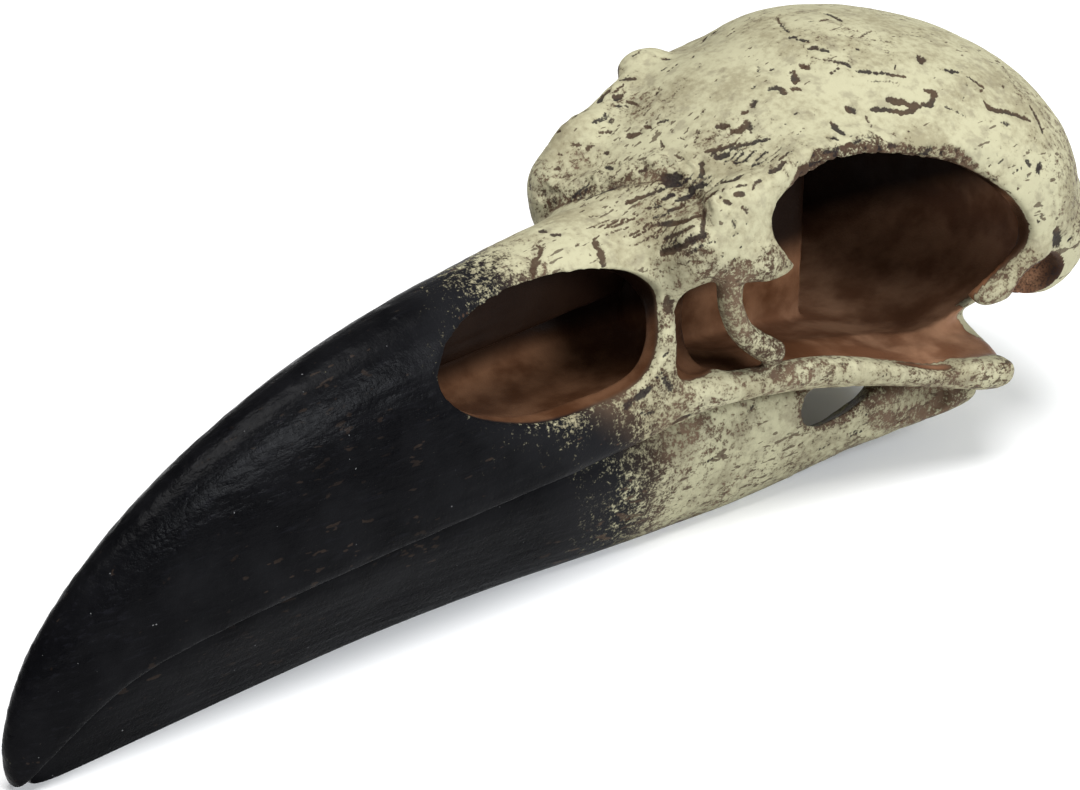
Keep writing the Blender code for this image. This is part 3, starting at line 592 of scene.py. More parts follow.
def new_object(name, shape):
    mesh = bpy.data.meshes.new(name)
    shape.to_mesh(mesh)
    shape.free()
    made = bpy.data.objects.new(name, mesh)
    workshop.objects.link(made)
    return made


def stations(rows, steps=LOFT_STEPS):
    """Places along a table, closer together towards both of its ends."""
    start, end = rows[0][0], rows[-1][0]
    return [start + (end - start) * (1 - math.cos(math.pi * i / steps)) / 2 for i in range(steps + 1)]


def loft(name, places, ring_at):
    """A closed skin over rings that each lie across the skull."""
    shape = bmesh.new()
    rings = [[shape.verts.new(place(back, out, height)) for out, height in ring_at(back)] for back in places]
    count = len(rings[0])
    for ring, following in zip(rings, rings[1:]):
        for i in range(count):
            j = (i + 1) % count
            shape.faces.new((ring[i], ring[j], following[j], following[i]))
    shape.faces.new(rings[0])
    shape.faces.new(rings[-1])
    face_outwards(shape)
    return new_object(name, shape)


def turns():
    return [2 * math.pi * i / RING_POINTS for i in range(RING_POINTS)]


def oval(half_width, low, high, squareness):
    """A ring with flattened sides; a squareness of 2 is a true ellipse."""
    middle, half_height = (low + high) / 2, (high - low) / 2
    bend = 2 / squareness
    return [
        (half_width * power(math.cos(t), bend), middle + half_height * power(math.sin(t), bend))
        for t in turns()
    ]


def egg(name, centre, radii):
    """A ball of clay, stretched along the three axes."""
    shape = bmesh.new()
    bmesh.ops.create_uvsphere(shape, u_segments=48, v_segments=28, radius=1.0)
    bmesh.ops.scale(shape, vec=Vector(radii) * MM, verts=shape.verts)
    bmesh.ops.translate(shape, vec=place(*centre), verts=shape.verts)
    return new_object(name, shape)


def rod(name, points, side=1):
    """A round rod of clay through points that each have their own radius."""
    curve = bpy.data.curves.new(name, "CURVE")
    curve.dimensions = "3D"
    curve.bevel_depth = MM
    curve.bevel_resolution = 4
    curve.use_fill_caps = True
    steps = 5 * (len(points) - 1)
    rows = [(i, *point) for i, point in enumerate(points)]
    spline = curve.splines.new("POLY")
    spline.points.add(steps)
    for i, target in enumerate(spline.points):
        at = i * (len(points) - 1) / steps
        back, out, height, radius = (flow(rows, at, column) for column in (1, 2, 3, 4))
        target.co = (*place(back, side * out, height), 1.0)
        target.radius = radius
    guide = bpy.data.objects.new(name + "_curve", curve)
    workshop.objects.link(guide)
    bpy.context.view_layer.update()
    mesh = bpy.data.meshes.new_from_object(guide.evaluated_get(bpy.context.evaluated_depsgraph_get()))
    shape = bmesh.new()
    shape.from_mesh(mesh)
    bmesh.ops.remove_doubles(shape, verts=shape.verts, dist=0.01 * MM)
    bpy.data.objects.remove(guide)
    return new_object(name, shape)


def smooth_outline(points, steps=5):
    """A closed outline through the points, rounded between them."""
    count = len(points)
    outline = []
    for i in range(count):
        a, b, c, d = (Vector(points[(i + k) % count]) for k in (-1, 0, 1, 2))
        for step in range(steps):
            t = step / steps
            spot = 2 * b + (c - a) * t + (2 * a - 5 * b + 4 * c - d) * t**2
            spot = spot + (3 * b - a - 3 * c + d) * t**3
            outline.append(spot / 2)
    return outline


def window(name, outline, low_out, high_out, lean=0.0):
    """A plug with an opening's outline, pushed in from the side; a leaning one drops on its way in."""
    shape = bmesh.new()
    rims = []
    for out in (low_out, high_out):
        rise = lean * (abs(out) - JAW_SIDE_OUT)
        spots = [place(back, out, height + rise) for back, height in smooth_outline(outline)]
        rims.append([shape.verts.new(spot) for spot in spots])
    count = len(rims[0])
    for i in range(count):
        j = (i + 1) % count
        shape.faces.new((rims[0][i], rims[0][j], rims[1][j], rims[1][i]))
    shape.faces.new(rims[0])
    shape.faces.new(rims[1])
    face_outwards(shape)
    return new_object(name, shape)


def below_seam(name, drop):
    """Everything lower than the seam, or than a line a little below it."""
    places = [SEAM[0][0] + (SEAM[-1][0] + 20 - SEAM[0][0]) * i / 110 for i in range(111)]

    def ring(back):
        top = flow(SEAM, back, 1) - drop
        return [(-FAR, top), (FAR, top), (FAR, -FAR), (-FAR, -FAR)]

    return loft(name, places, ring)


def box(name, low, high):
    shape = bmesh.new()
    bmesh.ops.create_cube(shape, size=1.0)
    size = [(b - a) * MM for a, b in zip(low, high)]
    middle = [(a + b) / 2 for a, b in zip(low, high)]
    bmesh.ops.scale(shape, vec=size, verts=shape.verts)
    bmesh.ops.translate(shape, vec=place(*middle), verts=shape.verts)
    return new_object(name, shape)


def apply_modifiers(thing):
    bpy.context.view_layer.update()
    evaluated = thing.evaluated_get(bpy.context.evaluated_depsgraph_get())
    mesh = bpy.data.meshes.new_from_object(evaluated)
    thing.modifiers.clear()
    thing.data = mesh


def cut(thing, cutters, operation="DIFFERENCE"):
    for cutter in cutters:
        boolean = thing.modifiers.new("cut", "BOOLEAN")
        boolean.operation = operation
        boolean.solver = "MANIFOLD"
        boolean.object = cutter
        apply_modifiers(thing)
        bpy.data.objects.remove(cutter)


def join(name, pieces):
    """All the pieces' skins in one mesh; a remesh then makes one body of them."""
    shape = bmesh.new()
    for piece in pieces:
        shape.from_mesh(piece.data)
        bpy.data.objects.remove(piece)
    return new_object(name, shape)


def remesh(thing, voxel, smoothing):
    modifier = thing.modifiers.new("remesh", "REMESH")
    modifier.mode = "VOXEL"
    modifier.voxel_size = voxel * MM
    relax = thing.modifiers.new("relax", "SMOOTH")
    relax.factor = 0.5
    relax.iterations = smoothing
    apply_modifiers(thing)


def soften(thing, places, iterations):
    """Smooths the clay round some places, each a back, out, height and reach, alike on both sides."""
    spots = np.empty(len(thing.data.vertices) * 3)
    thing.data.vertices.foreach_get("co", spots)
    spots = spots.reshape(-1, 3) / MM + (CENTRE_BACK, 0, 0)
    spots[:, 1] = np.abs(spots[:, 1])
    weight = np.zeros(len(spots))
    for *middle, reach in places:
        far = np.linalg.norm(spots - middle, axis=1) / reach
        weight = np.maximum(weight, np.clip(2 - 2 * far, 0, 1))
    group = thing.vertex_groups.new(name="soft")
    for index in np.flatnonzero(weight):
        group.add([int(index)], float(weight[index]), "REPLACE")
    relax = thing.modifiers.new("soften", "SMOOTH")
    relax.factor = 0.5
    relax.iterations = iterations
    relax.vertex_group = "soft"
    apply_modifiers(thing)
    thing.vertex_groups.clear()


def cast_skin(thing):
    """The clay recast finely; the rounding is the same length on any mesh."""
    remesh(thing, SKIN_VOXEL, round(4 * (SKIN_ROUNDING / SKIN_VOXEL) ** 2 / 2))


def bill_ring(back):
    ridge, edge, half_width = (flow(UPPER_BILL, back, column) for column in (1, 2, 3))
    under = min(3.0, half_width)
    ring = []
    for t in turns():
        out = half_width * power(math.cos(t), 2 / BILL_FLANK_POWER)
        rise = power(math.sin(t), 2 / BILL_RIDGE_POWER)
        ring.append((out, edge + rise * ((ridge - edge) if rise > 0 else under)))
    return ring


def frontal_ring(back):
    low, middle, edge, half_width = (flow(FRONTAL, back, column) for column in (1, 2, 3, 4))
    ring = []
    for t in turns():
        out = half_width * power(math.cos(t), 2 / FRONTAL_SQUARENESS)
        share = 1 - (out / half_width) ** 2
        top = edge + (middle - edge) * share
        ring.append((out, low + (top - low) * (0.5 + 0.5 * power(math.sin(t), 2 / FRONTAL_SQUARENESS))))
    return ring


def jaw_ring(back):
    low, top_width, low_width = (flow(LOWER_JAW, back, column) for column in (1, 2, 3))
    high = flow(SEAM, back, 1) + 1.5
    ring = []
    for t in turns():
        rise = 0.5 + 0.5 * power(math.sin(t), 2 / JAW_EDGE_SQUARENESS)
        half_width = low_width + (top_width - low_width) * rise**0.9
        ring.append((half_width * power(math.cos(t), 2 / JAW_SIDE_SQUARENESS), low + (high - low) * rise))
    return ring


def between_rami_ring(back):
    """The space between the rami, which lean in towards the floor as the jaw's sides do."""
    share = min(1.0, (back - RAMI_MEET_BACK) / RAMI_PARTING)
    high = max(0.8, share * (flow(LOWER_JAW, back, 2) - RAMUS_THICKNESS))
    low = max(0.4, share * (flow(LOWER_JAW, back, 3) - RAMUS_THICKNESS))
    half = [(low, -FAR), (low, 0.0), (high, flow(SEAM, back, 1)), (high, FAR)]
    return half + [(-out, height) for out, height in reversed(half)]


def table_loft(name, rows, squareness):
    """A loft over a table of back, half width, low and high."""

    def ring(back):
        return oval(*(flow(rows, back, column) for column in (1, 2, 3)), squareness)

    return loft(name, stations(rows), ring)


def skull_clay():
    pieces = [
        loft("bill", stations(UPPER_BILL), bill_ring),
        loft("frontal", stations(FRONTAL), frontal_ring),
        table_loft("floor_plate", FLOOR_PLATE, FLOOR_SQUARENESS),
        table_loft("braincase", BRAINCASE, BRAINCASE_SQUARENESS),
        egg("base", (BASE_BLOCK[0][0], 0, BASE_BLOCK[0][1]), BASE_BLOCK[1]),
    ]
    for side in (-1, 1):
        pieces.append(rod("brow", BROW, side))
        pieces.append(rod("cheek", CHEEK, side))
        for centre, radii in (LACRIMAL_BULGE, LACRIMAL_PLATE, LACRIMAL_POINT, EAR_SWELLING):
            back, out, height = centre
            pieces.append(egg("lump", (back, side * out, height), radii))
    clay = join("skull_clay", pieces)
    remesh(clay, CLAY_VOXEL, CLAY_SMOOTHING)
    soften(clay, SHOULDERS, SHOULDER_SMOOTHING)
    clay = join("skull_clay", [clay, egg("knob", *BROW_KNOB)])
    remesh(clay, CLAY_VOXEL, 1)
    soften(clay, [(*BROW_KNOB[0], KNOB_REACH)], KNOB_SMOOTHING)
    return clay


def hollow_skull(clay):
    tools = [
        table_loft("bill_hollow", BILL_HOLLOW, BILL_HOLLOW_SQUARENESS),
        table_loft("head_hollow", HEAD_HOLLOW, HEAD_HOLLOW_SQUARENESS),
        window("nostrils", NOSTRIL, -FAR, FAR),
        window("eye_windows", EYE_WINDOW, -FAR, -EYE_WINDOW_START),
        window("eye_windows", EYE_WINDOW, EYE_WINDOW_START, FAR),
        window("rear_gap", REAR_GAP, -FAR, -REAR_GAP_START),
        window("rear_gap", REAR_GAP, REAR_GAP_START, FAR),
        egg("neck_hole", (NECK_HOLE[0][0], 0, NECK_HOLE[0][1]), NECK_HOLE[1]),
    ]
    for side in (-1, 1):
        for (back, out, height), radii in (EAR_HOLLOW, CHEEK_POCKET):
            tools.append(egg("pocket", (back, side * out, height), radii))
    cut(clay, tools)
    condyle = egg("condyle", (CONDYLE[0][0], 0, CONDYLE[0][1]), CONDYLE[1])
    keel = box("keel", (KEEL[0], -KEEL_HALF_WIDTH, KEEL_FOOT), (KEEL[1], KEEL_HALF_WIDTH, KEEL_TOP))
    septum = table_loft("septum", SEPTUM, SEPTUM_SQUARENESS)
    struts = [rod("strut", LACRIMAL_STRUT, side) for side in (-1, 1)]
    clay = join("skull_clay", [clay, condyle, keel, septum, *struts])
    cast_skin(clay)
    cut(clay, [below_seam("seam_top", 0.0), box("below_floor", (-FAR, -FAR, -FAR), (LENGTH + FAR, FAR, 0.0))])
    return clay


def jaw_clay():
    clay = loft("jaw_clay", stations(LOWER_JAW), jaw_ring)
    start = RAMI_MEET_BACK
    end = LOWER_JAW[-1][0] + 6
    gap_places = [start + (end - start) * i / LOFT_STEPS for i in range(LOFT_STEPS + 1)]
    remesh(clay, CLAY_VOXEL, CLAY_SMOOTHING)
    cut(clay, [
        loft("between_rami", gap_places, between_rami_ring),
        window("jaw_windows", JAW_WINDOW, -FAR, -JAW_WINDOW_START, JAW_WINDOW_LEAN),
        window("jaw_windows", JAW_WINDOW, JAW_WINDOW_START, FAR, JAW_WINDOW_LEAN),
        window("jaw_recess", JAW_RECESS, -FAR, -JAW_RECESS_START),
        window("jaw_recess", JAW_RECESS, JAW_RECESS_START, FAR),
    ])
    cast_skin(clay)
    cut(clay, [below_seam("seam_foot", SEAM_GAP)], "INTERSECT")
    cut(clay, [box("below_floor", (-FAR, -FAR, -FAR), (LENGTH + FAR, FAR, 0.0))])
    return clay


def keep_largest(thing):
    """Drops the scraps that a cut leaves, and keeps the largest closed body."""
    shape = bmesh.new()
    shape.from_mesh(thing.data)
    unseen = set(shape.verts)
    largest = []
    while unseen:
        stack = [unseen.pop()]
        island = list(stack)
        while stack:
            for edge in stack.pop().link_edges:
                for vertex in edge.verts:
                    if vertex in unseen:
                        unseen.discard(vertex)
                        stack.append(vertex)
                        island.append(vertex)
        if len(island) > len(largest):
            largest = island
    kept = set(largest)
    bmesh.ops.delete(shape, geom=[v for v in shape.verts if v not in kept], context="VERTS")
    shape.to_mesh(thing.data)
    shape.free()


def plain(name, colour, roughness):
    material = bpy.data.materials.new(name)
    material.use_nodes = True
    shader = material.node_tree.nodes["Principled BSDF"]
    shader.inputs["Base Color"].default_value = (*colour, 1.0)
    shader.inputs["Roughness"].default_value = roughness
    return material


def light(name, where, aim, size, watts, colour=(1, 1, 1)):
    lamp = bpy.data.lights.new(name, "AREA")
    lamp.shape = "DISK"
    lamp.size = size
    lamp.energy = watts
    lamp.color = colour
    holder = bpy.data.objects.new(name, lamp)
    holder.location = where
    holder.rotation_euler = (Vector(aim) - Vector(where)).to_track_quat("-Z", "Y").to_euler()
    bpy.context.scene.collection.objects.link(holder)


def lattice(cells, seed):
    """A fixed pseudo-random number from 0 to 1 for each whole-numbered point."""
    x, y, z = (cells[..., i].astype(np.uint64) for i in range(3))
    number = (x * np.uint64(73856093)) ^ (y * np.uint64(19349663)) ^ (z * np.uint64(83492791))
    number = number ^ np.uint64(seed * 2654435761)
    number = (number ^ (number >> np.uint64(13))) * np.uint64(1274126177) & np.uint64(0xFFFFFFFF)
    number = (number ^ (number >> np.uint64(16))) & np.uint64(0xFFFFFF)
    return number / float(0xFFFFFF)


def lumps(points, size, seed):
    """Smooth unevenness from -1 to 1 whose lumps have the given size, in mm, along each axis."""
    at = points / np.asarray(size, float) + 1000.0
    low = np.floor(at)
    t = at - low
    t = t * t * (3 - 2 * t)
    low = low.astype(np.int64)
    total = 0
    for corner in np.ndindex(2, 2, 2):
        weight = np.prod(np.where(np.array(corner), t, 1 - t), axis=1)
        total = total + weight * lattice(low + corner, seed)
    return 2 * total - 1


def curve_through(points, step=0.35):
    """Points closely along a smooth curve through the given ones."""
    rows = [(i, *point) for i, point in enumerate(points)]
    length = sum(math.dist(a, b) for a, b in zip(points, points[1:]))
    count = max(2, math.ceil(length / step))
    return np.array([
        [flow(rows, i * (len(points) - 1) / count, column) for column in (1, 2, 3)] for i in range(count + 1)
    ])


class Skin:
    """The surface of one cast: its points in mm, and what is painted on each."""

    def __init__(self, thing):
        self.thing = thing
        self.read()
        count = len(self.points)
        self.groove = np.zeros(count)
        self.wash = np.zeros(count)
        self.black = np.zeros(count)
        self.inside = np.zeros(count)

    def read(self):
        mesh = self.thing.data
        spots = np.empty(len(mesh.vertices) * 3)
        mesh.vertices.foreach_get("co", spots)
        self.points = spots.reshape(-1, 3) / MM + (CENTRE_BACK, 0, 0)
        normals = np.empty(len(mesh.vertices) * 3)
        mesh.vertex_normals.foreach_get("vector", normals)
        self.normals = normals.reshape(-1, 3)
        self.mirrored = self.points * (1, -1, 1)

    def press(self, depth):
        """Moves the skin inwards by a depth for each point."""
        self.points = self.points - self.normals * depth[:, None]
        self.mirrored = self.points * (1, -1, 1)

    def write(self):
        mesh = self.thing.data
        spots = (self.points - (CENTRE_BACK, 0, 0)) * MM
        mesh.vertices.foreach_set("co", spots.ravel())
        for name in ("groove", "wash", "black", "inside"):
            layer = mesh.attributes.new(name, "FLOAT", "POINT")
            layer.data.foreach_set("value", np.clip(getattr(self, name), 0, 1).astype(np.float32))
        mesh.update()

    def close_to(self, path, reach, points=None):
        """Which points lie near a path, how far from it, and how far along it from 0 to 1."""
        points = self.points if points is None else points
        low, high = path.min(axis=0) - reach, path.max(axis=0) + reach
        near = np.flatnonzero(((points > low) & (points < high)).all(axis=1))
        if not len(near):
            return near, np.zeros(0), np.zeros(0)
        away = np.linalg.norm(points[near][:, None, :] - path[None, :, :], axis=2)
        closest = away.argmin(axis=1)
        distance = away[np.arange(len(near)), closest]
        kept = distance < reach
        return near[kept], distance[kept], closest[kept] / max(len(path) - 1, 1)


def laid_on(skin, path):
    """The path moved onto the skin: each point goes to the nearest point of the surface."""
    laid = []
    for spot in path:
        reach = 4.0
        near = np.flatnonzero((np.abs(skin.points - spot) < reach).all(axis=1))
        if len(near):
            laid.append(skin.points[near[np.linalg.norm(skin.points[near] - spot, axis=1).argmin()]])
    return np.array(laid) if laid else path


def work_stroke(skin, half_width, depth, darkness, path, pressed):
    """A mark drawn with a tool: deep in its middle, running out at both ends, uneven along its length."""
    reach = 2.6 * half_width + 0.5
    for points in (skin.points, skin.mirrored):
        if points is skin.mirrored and path[:, 1].max() > MIRROR_FROM:
            break
        near, distance, along = skin.close_to(path, reach, points)
        if not len(near):
            continue
        ends = np.clip(np.minimum(along, 1 - along) * 6 + 0.45, 0, 1) if len(path) > 4 else 1.0
        ragged = 1 + 0.45 * lumps(points[near], 0.8, 5) + 0.3 * lumps(points[near], 2.5, 6)
        width = half_width * ends * np.clip(ragged, 0.3, 2) + 0.20
        shape = np.exp(-((distance / width) ** 2))
        pressed[near] = np.maximum(pressed[near], depth * shape)
        skin.groove[near] = np.maximum(skin.groove[near], darkness * np.clip(1.5 * shape - 0.12, 0, 1))


def hatch(skin, pressed):
    """Rows of short fine cuts, each about along the skull, made with the tip of a tool."""
    random = np.random.default_rng(17)
    for first, last, count, length in HATCHES:
        for i in range(count):
            share = (i + random.uniform(-0.3, 0.3)) / (count - 1)
            spot = np.array(first) + share * (np.array(last) - first) + (random.uniform(-1.2, 1.2), 0, 0)
            run = length * random.uniform(0.6, 1.2) / 2
            lean = np.array([run, random.uniform(-0.25, 0.05) * run, 0.2 * run])
            path = laid_on(skin, curve_through([tuple(spot - lean), tuple(spot), tuple(spot + lean)]))
            work_stroke(skin, random.uniform(0.06, 0.16), 0.16, random.uniform(0.5, 0.85), path, pressed)


def in_room(points):
    """1 inside the room between the eyes, whose walls are dark though no tool cut them, and 0 outside."""
    back = points[:, 0]
    places, *columns = zip(*EYE_ROOM)
    half, low, high = (np.interp(back, places, column) for column in columns)
    across = np.abs(points[:, 1]) / half
    upright = np.abs(points[:, 2] - (low + high) / 2) / ((high - low) / 2)
    return (across**6 + upright**6 < 1) & (back > places[0]) & (back < places[-1])


def under_skin(skin, outer):
    """1 for points deeper than the cast's outer skin, as the walls of its openings are, and 0 on the skin."""
    count = len(skin.points)
    deep = np.empty(count)
    for index, spot in enumerate((skin.points - (CENTRE_BACK, 0, 0)) * MM):
        deep[index] = outer.find_nearest(spot)[3]
    return np.clip((deep / MM - SKIN_DEPTH) / 0.7, 0, 1)


def paint_common(skin):
    spots = skin.points
    reach = np.interp(spots[:, 2], *zip(*BLACK_REACH))
    skin.black = 0.5 + (reach - spots[:, 0]) / BLACK_FADE
    wide = lumps(spots, 9.0, 11)
    broad = lumps(spots, 4.0, 12)
    skin.wash += 0.10 + 0.10 * wide + 0.07 * broad
    folded = spots.copy()
    folded[:, 1] = np.abs(folded[:, 1])
    for *middle, span, amount in WASHES:
        far = np.linalg.norm(folded - middle, axis=1) / span
        skin.wash = np.maximum(skin.wash, amount * np.clip(1.35 - far * far * 1.35, 0, 1) + 0.12 * broad)


def scatter_pits(skin, allowed, count, seed, sizes, depth):
    """Small pits left by bubbles in the cast and by the tip of a tool."""
    random = np.random.default_rng(seed)
    chosen = random.choice(np.flatnonzero(allowed), count, replace=False)
    pressed = np.zeros(len(skin.points))
    for index in chosen:
        radius = random.uniform(*sizes)
        spot = skin.points[index]
        stretch = 1 + 1.6 * random.random()
        turn = random.uniform(-0.6, 0.6)
        along = np.array([math.cos(turn), -math.sin(turn), 0.3])
        path = np.array([spot - along * radius * stretch, spot, spot + along * radius * stretch])
        near, distance, _ = skin.close_to(path, 2.5 * radius)
        shape = np.exp(-((distance / radius) ** 2))
        pressed[near] = np.maximum(pressed[near], depth * random.uniform(0.5, 1) * shape)
        dark = random.uniform(0.35, 0.95)
        skin.groove[near] = np.maximum(skin.groove[near], dark * np.clip(1.4 * shape - 0.2, 0, 1))
    return pressed


def work_rim(skin):
    """The rim of the eye openings: dark and full of small pits above, flecked in front and behind."""
    rim = np.array([tuple(point) for point in smooth_outline(EYE_WINDOW)])
    spots = skin.points
    side = (np.abs(spots[:, 1]) > 17) & (skin.inside < 0.5)
    near = np.flatnonzero(side & (spots[:, 2] > 46) & (spots[:, 0] > 122) & (spots[:, 0] < 180))
    flat = spots[near][:, ::2]
    away = np.full(len(near), np.inf)
    for point in rim:
        away = np.minimum(away, np.hypot(*(flat - point).T))
    above = np.clip((flat[:, 0] - 131) / 4, 0, 1) * np.clip((168 - flat[:, 0]) / 5, 0, 1)
    width = 2.2 * above + 0.7 + 0.9 * lumps(spots[near], 1.8, 23)
    band = np.clip((width - away) / 0.7, 0, 1)
    rough = np.clip(lumps(spots[near], 0.8, 21) * 2.4 + 0.05, 0, 1)
    skin.wash[near] = np.maximum(skin.wash[near], (0.34 + 0.22 * above) * band)
    skin.groove[near] = np.maximum(skin.groove[near], 0.62 * rough * band * (0.3 + 0.7 * above))
    pressed = np.zeros(len(spots))
    pressed[near] = 0.40 * rough * band * above
    skin.press(pressed)


def work_skull(thing, outer):
    """Works the marks into the skull's skin and notes what is painted where."""
    skin = Skin(thing)
    spots = skin.points
    head = np.clip((spots[:, 0] - 84) / 16, 0, 1)
    skin.inside = np.maximum(under_skin(skin, outer), in_room(spots))
    strut = curve_through([point[:3] for point in LACRIMAL_STRUT], 0.8)
    for points in (skin.points, skin.mirrored):
        near = skin.close_to(strut * (1, -1, 1), 3.4, points)[0]
        skin.inside[near] = 0
    outside = 1 - skin.inside
    pressed = 0.10 * lumps(spots, 7.0, 1) + 0.06 * lumps(spots, 2.6, 2) + 0.03 * lumps(spots, 1.1, 3)
    streaks = lumps(spots, (14.0, 0.9, 0.9), 4) * 0.05 + lumps(spots, (6.0, 0.5, 0.5), 7) * 0.03
    pressed = pressed * (0.5 + 0.5 * head) + streaks * (1 - head)
    skin.press(pressed)

    pressed = np.zeros(len(spots))
    crease = laid_on(skin, curve_through(CREASE))
    near, distance, along = skin.close_to(crease, 6.0)
    behind = skin.points[near, 0] > crease[(along * (len(crease) - 1)).round().astype(int), 0]
    ends = np.clip(np.minimum(along, 1 - along) * 8, 0, 1)
    pressed[near] += CREASE_DEPTH * ends * np.exp(-((distance / 1.1) ** 2)) * outside[near]
    pressed[near] -= RIDGE_RISE * ends * behind * np.exp(-(((distance - 2.6) / 1.7) ** 2)) * outside[near]
    skin.wash[near] = np.maximum(skin.wash[near], 0.5 * ends * np.exp(-((distance / 2.2) ** 2)))
    for half_width, depth, darkness, *points in STROKES:
        path = laid_on(skin, curve_through(points))
        work_stroke(skin, half_width, depth, darkness, path, pressed)
    hatch(skin, pressed)
    skin.press(pressed)

    cheek = curve_through([point[:3] for point in CHEEK], 0.8)
    for points in (skin.points, skin.mirrored):
        near = skin.close_to(cheek * (1, -1, 1), 3.6, points)[0]
        skin.wash[near] = np.maximum(skin.wash[near], 0.32 + 0.16 * lumps(skin.points[near], 2.2, 29))
    work_rim(skin)
    for points in (skin.points, skin.mirrored):
        near = skin.close_to(strut * (1, -1, 1), 4.0, points)[0]
        skin.wash[near] = np.maximum(skin.wash[near], 0.5)
    (back, out, height), radii = EAR_HOLLOW
    for side in (-1, 1):
        share = (skin.points - (back, side * out, height)) / (np.array(radii) + 0.6)
        deep = np.linalg.norm(share, axis=1) < 1
        skin.inside = np.maximum(skin.inside, deep * 1.0)
        skin.groove = np.maximum(skin.groove, deep * 0.42)
    bone = (skin.points[:, 0] > 98) & (skin.inside < 0.5) & (skin.groove < 0.2)
    pressed = scatter_pits(skin, bone, *BONE_PITS)
    bill = (skin.points[:, 0] < 90) & (skin.inside < 0.5)
    pressed += scatter_pits(skin, bill, *BILL_PITS)
    skin.press(pressed)
    paint_common(skin)
    skin.write()


def work_jaw(thing, _outer):
    skin = Skin(thing)
    spots = skin.points
    rear = np.clip((spots[:, 0] - 96) / 20, 0, 1)
    upright = np.clip((spots[:, 2] - 0.3) / 1.5, 0, 1)
    pressed = 0.10 * lumps(spots, 7.0, 31) + 0.16 * rear * lumps(spots, (3.5, 2.4, 2.4), 32)
    pressed += 0.06 * rear * lumps(spots, 1.1, 33) + 0.04 * (1 - rear) * lumps(spots, (9.0, 0.8, 0.8), 34)
    seam = np.interp(spots[:, 0], *zip(*SEAM))
    pressed += 0.45 * (1 - rear) * np.exp(-(((seam - 0.3 - spots[:, 2]) / 0.9) ** 2))
    skin.press(pressed * upright)
    skin.wash += 0.30 * rear + 0.16 * rear * lumps(spots, 5.0, 35)
    for outline, reach in ((JAW_WINDOW, 2.5), (JAW_RECESS, 3.0)):
        rim = np.array([tuple(point) for point in smooth_outline(outline)])
        away = np.linalg.norm(spots[:, None, ::2] - rim[None], axis=2).min(axis=1)
        skin.wash = np.maximum(skin.wash, 0.55 * np.clip(1.4 - away / reach, 0, 1))
    bone = (skin.points[:, 0] > 104) & (skin.points[:, 2] > 1.0)
    pressed = scatter_pits(skin, bone, *JAW_PITS)
    skin.press(pressed)
    paint_common(skin)
    skin.write()


def node(tree, kind, **settings):
    made = tree.nodes.new("ShaderNode" + kind)
    for name, value in settings.items():
        setattr(made, name, value)
    return made


def feed(tree, socket, value):
    """Gives a socket a number or a colour, or links it to another node's output."""
    if isinstance(value, bpy.types.NodeSocket):
        tree.links.new(value, socket)
    elif isinstance(value, tuple):
        socket.default_value = (*value, 1.0)
    else:
        socket.default_value = value


def mixed(tree, mask, low, high):
    """A colour between two, by a mask."""
    mix = node(tree, "Mix", data_type="RGBA")
    for index, value in ((0, mask), (6, low), (7, high)):
        feed(tree, mix.inputs[index], value)
    return mix.outputs[2]


def between(tree, mask, low, high):
    """A number between two, by a mask."""
    mix = node(tree, "Mix", data_type="FLOAT")
    for index, value in ((0, mask), (2, low), (3, high)):
        feed(tree, mix.inputs[index], value)
    return mix.outputs[0]


def maths(tree, operation, *values):
    made = node(tree, "Math", operation=operation)
    for socket, value in zip(made.inputs, values):
        feed(tree, socket, value)
    return made.outputs[0]


def weighted(tree, *parts):
    """The sum of two numbers, each times its share."""
    first, second = (maths(tree, "MULTIPLY", value, share) for value, share in parts)
    return maths(tree, "ADD", first, second)


def swing(tree, value, spread):
    """Noise about zero instead of about a half, times a spread."""
    return maths(tree, "MULTIPLY", maths(tree, "SUBTRACT", value, 0.5), spread)


def ranged(tree, value, low, high, to_low=0.0, to_high=1.0):
    """A smooth step from one number to another while the value goes from low to high."""
    made = node(tree, "MapRange", interpolation_type="SMOOTHSTEP")
    settings = {"Value": value, "From Min": low, "From Max": high, "To Min": to_low, "To Max": to_high}
    for label, setting in settings.items():
        feed(tree, made.inputs[label], setting)
    return made.outputs[0]


def group(name, inputs, outputs):
    """An empty node group with named inputs and outputs."""
    tree = bpy.data.node_groups.new(name, "ShaderNodeTree")
    for label, kind, default in inputs:
        socket = tree.interface.new_socket(name=label, in_out="INPUT", socket_type=kind)
        if default is not None:
            socket.default_value = default
    for label, kind in outputs:
        tree.interface.new_socket(name=label, in_out="OUTPUT", socket_type=kind)
    return tree, tree.nodes.new("NodeGroupInput"), tree.nodes.new("NodeGroupOutput")


def axes(tree, where):
    """A place's three parts, in metres: along the skull, across it and its height."""
    parts = node(tree, "SeparateXYZ")
    tree.links.new(where, parts.inputs[0])
    return parts.outputs[0], parts.outputs[1], parts.outputs[2]


def grain(tree, where, scale, detail, rough=0.55, stretch=None):
    """Noise over the skin; its scale is in lumps for each metre."""
    if stretch:
        squeeze = node(tree, "Mapping")
        squeeze.inputs["Scale"].default_value = stretch
        tree.links.new(where, squeeze.inputs["Vector"])
        where = squeeze.outputs["Vector"]
    noise_node = node(tree, "TexNoise")
    noise_node.inputs["Scale"].default_value = scale
    noise_node.inputs["Detail"].default_value = detail
    noise_node.inputs["Roughness"].default_value = rough
    tree.links.new(where, noise_node.inputs["Vector"])
    return noise_node.outputs["Fac"]


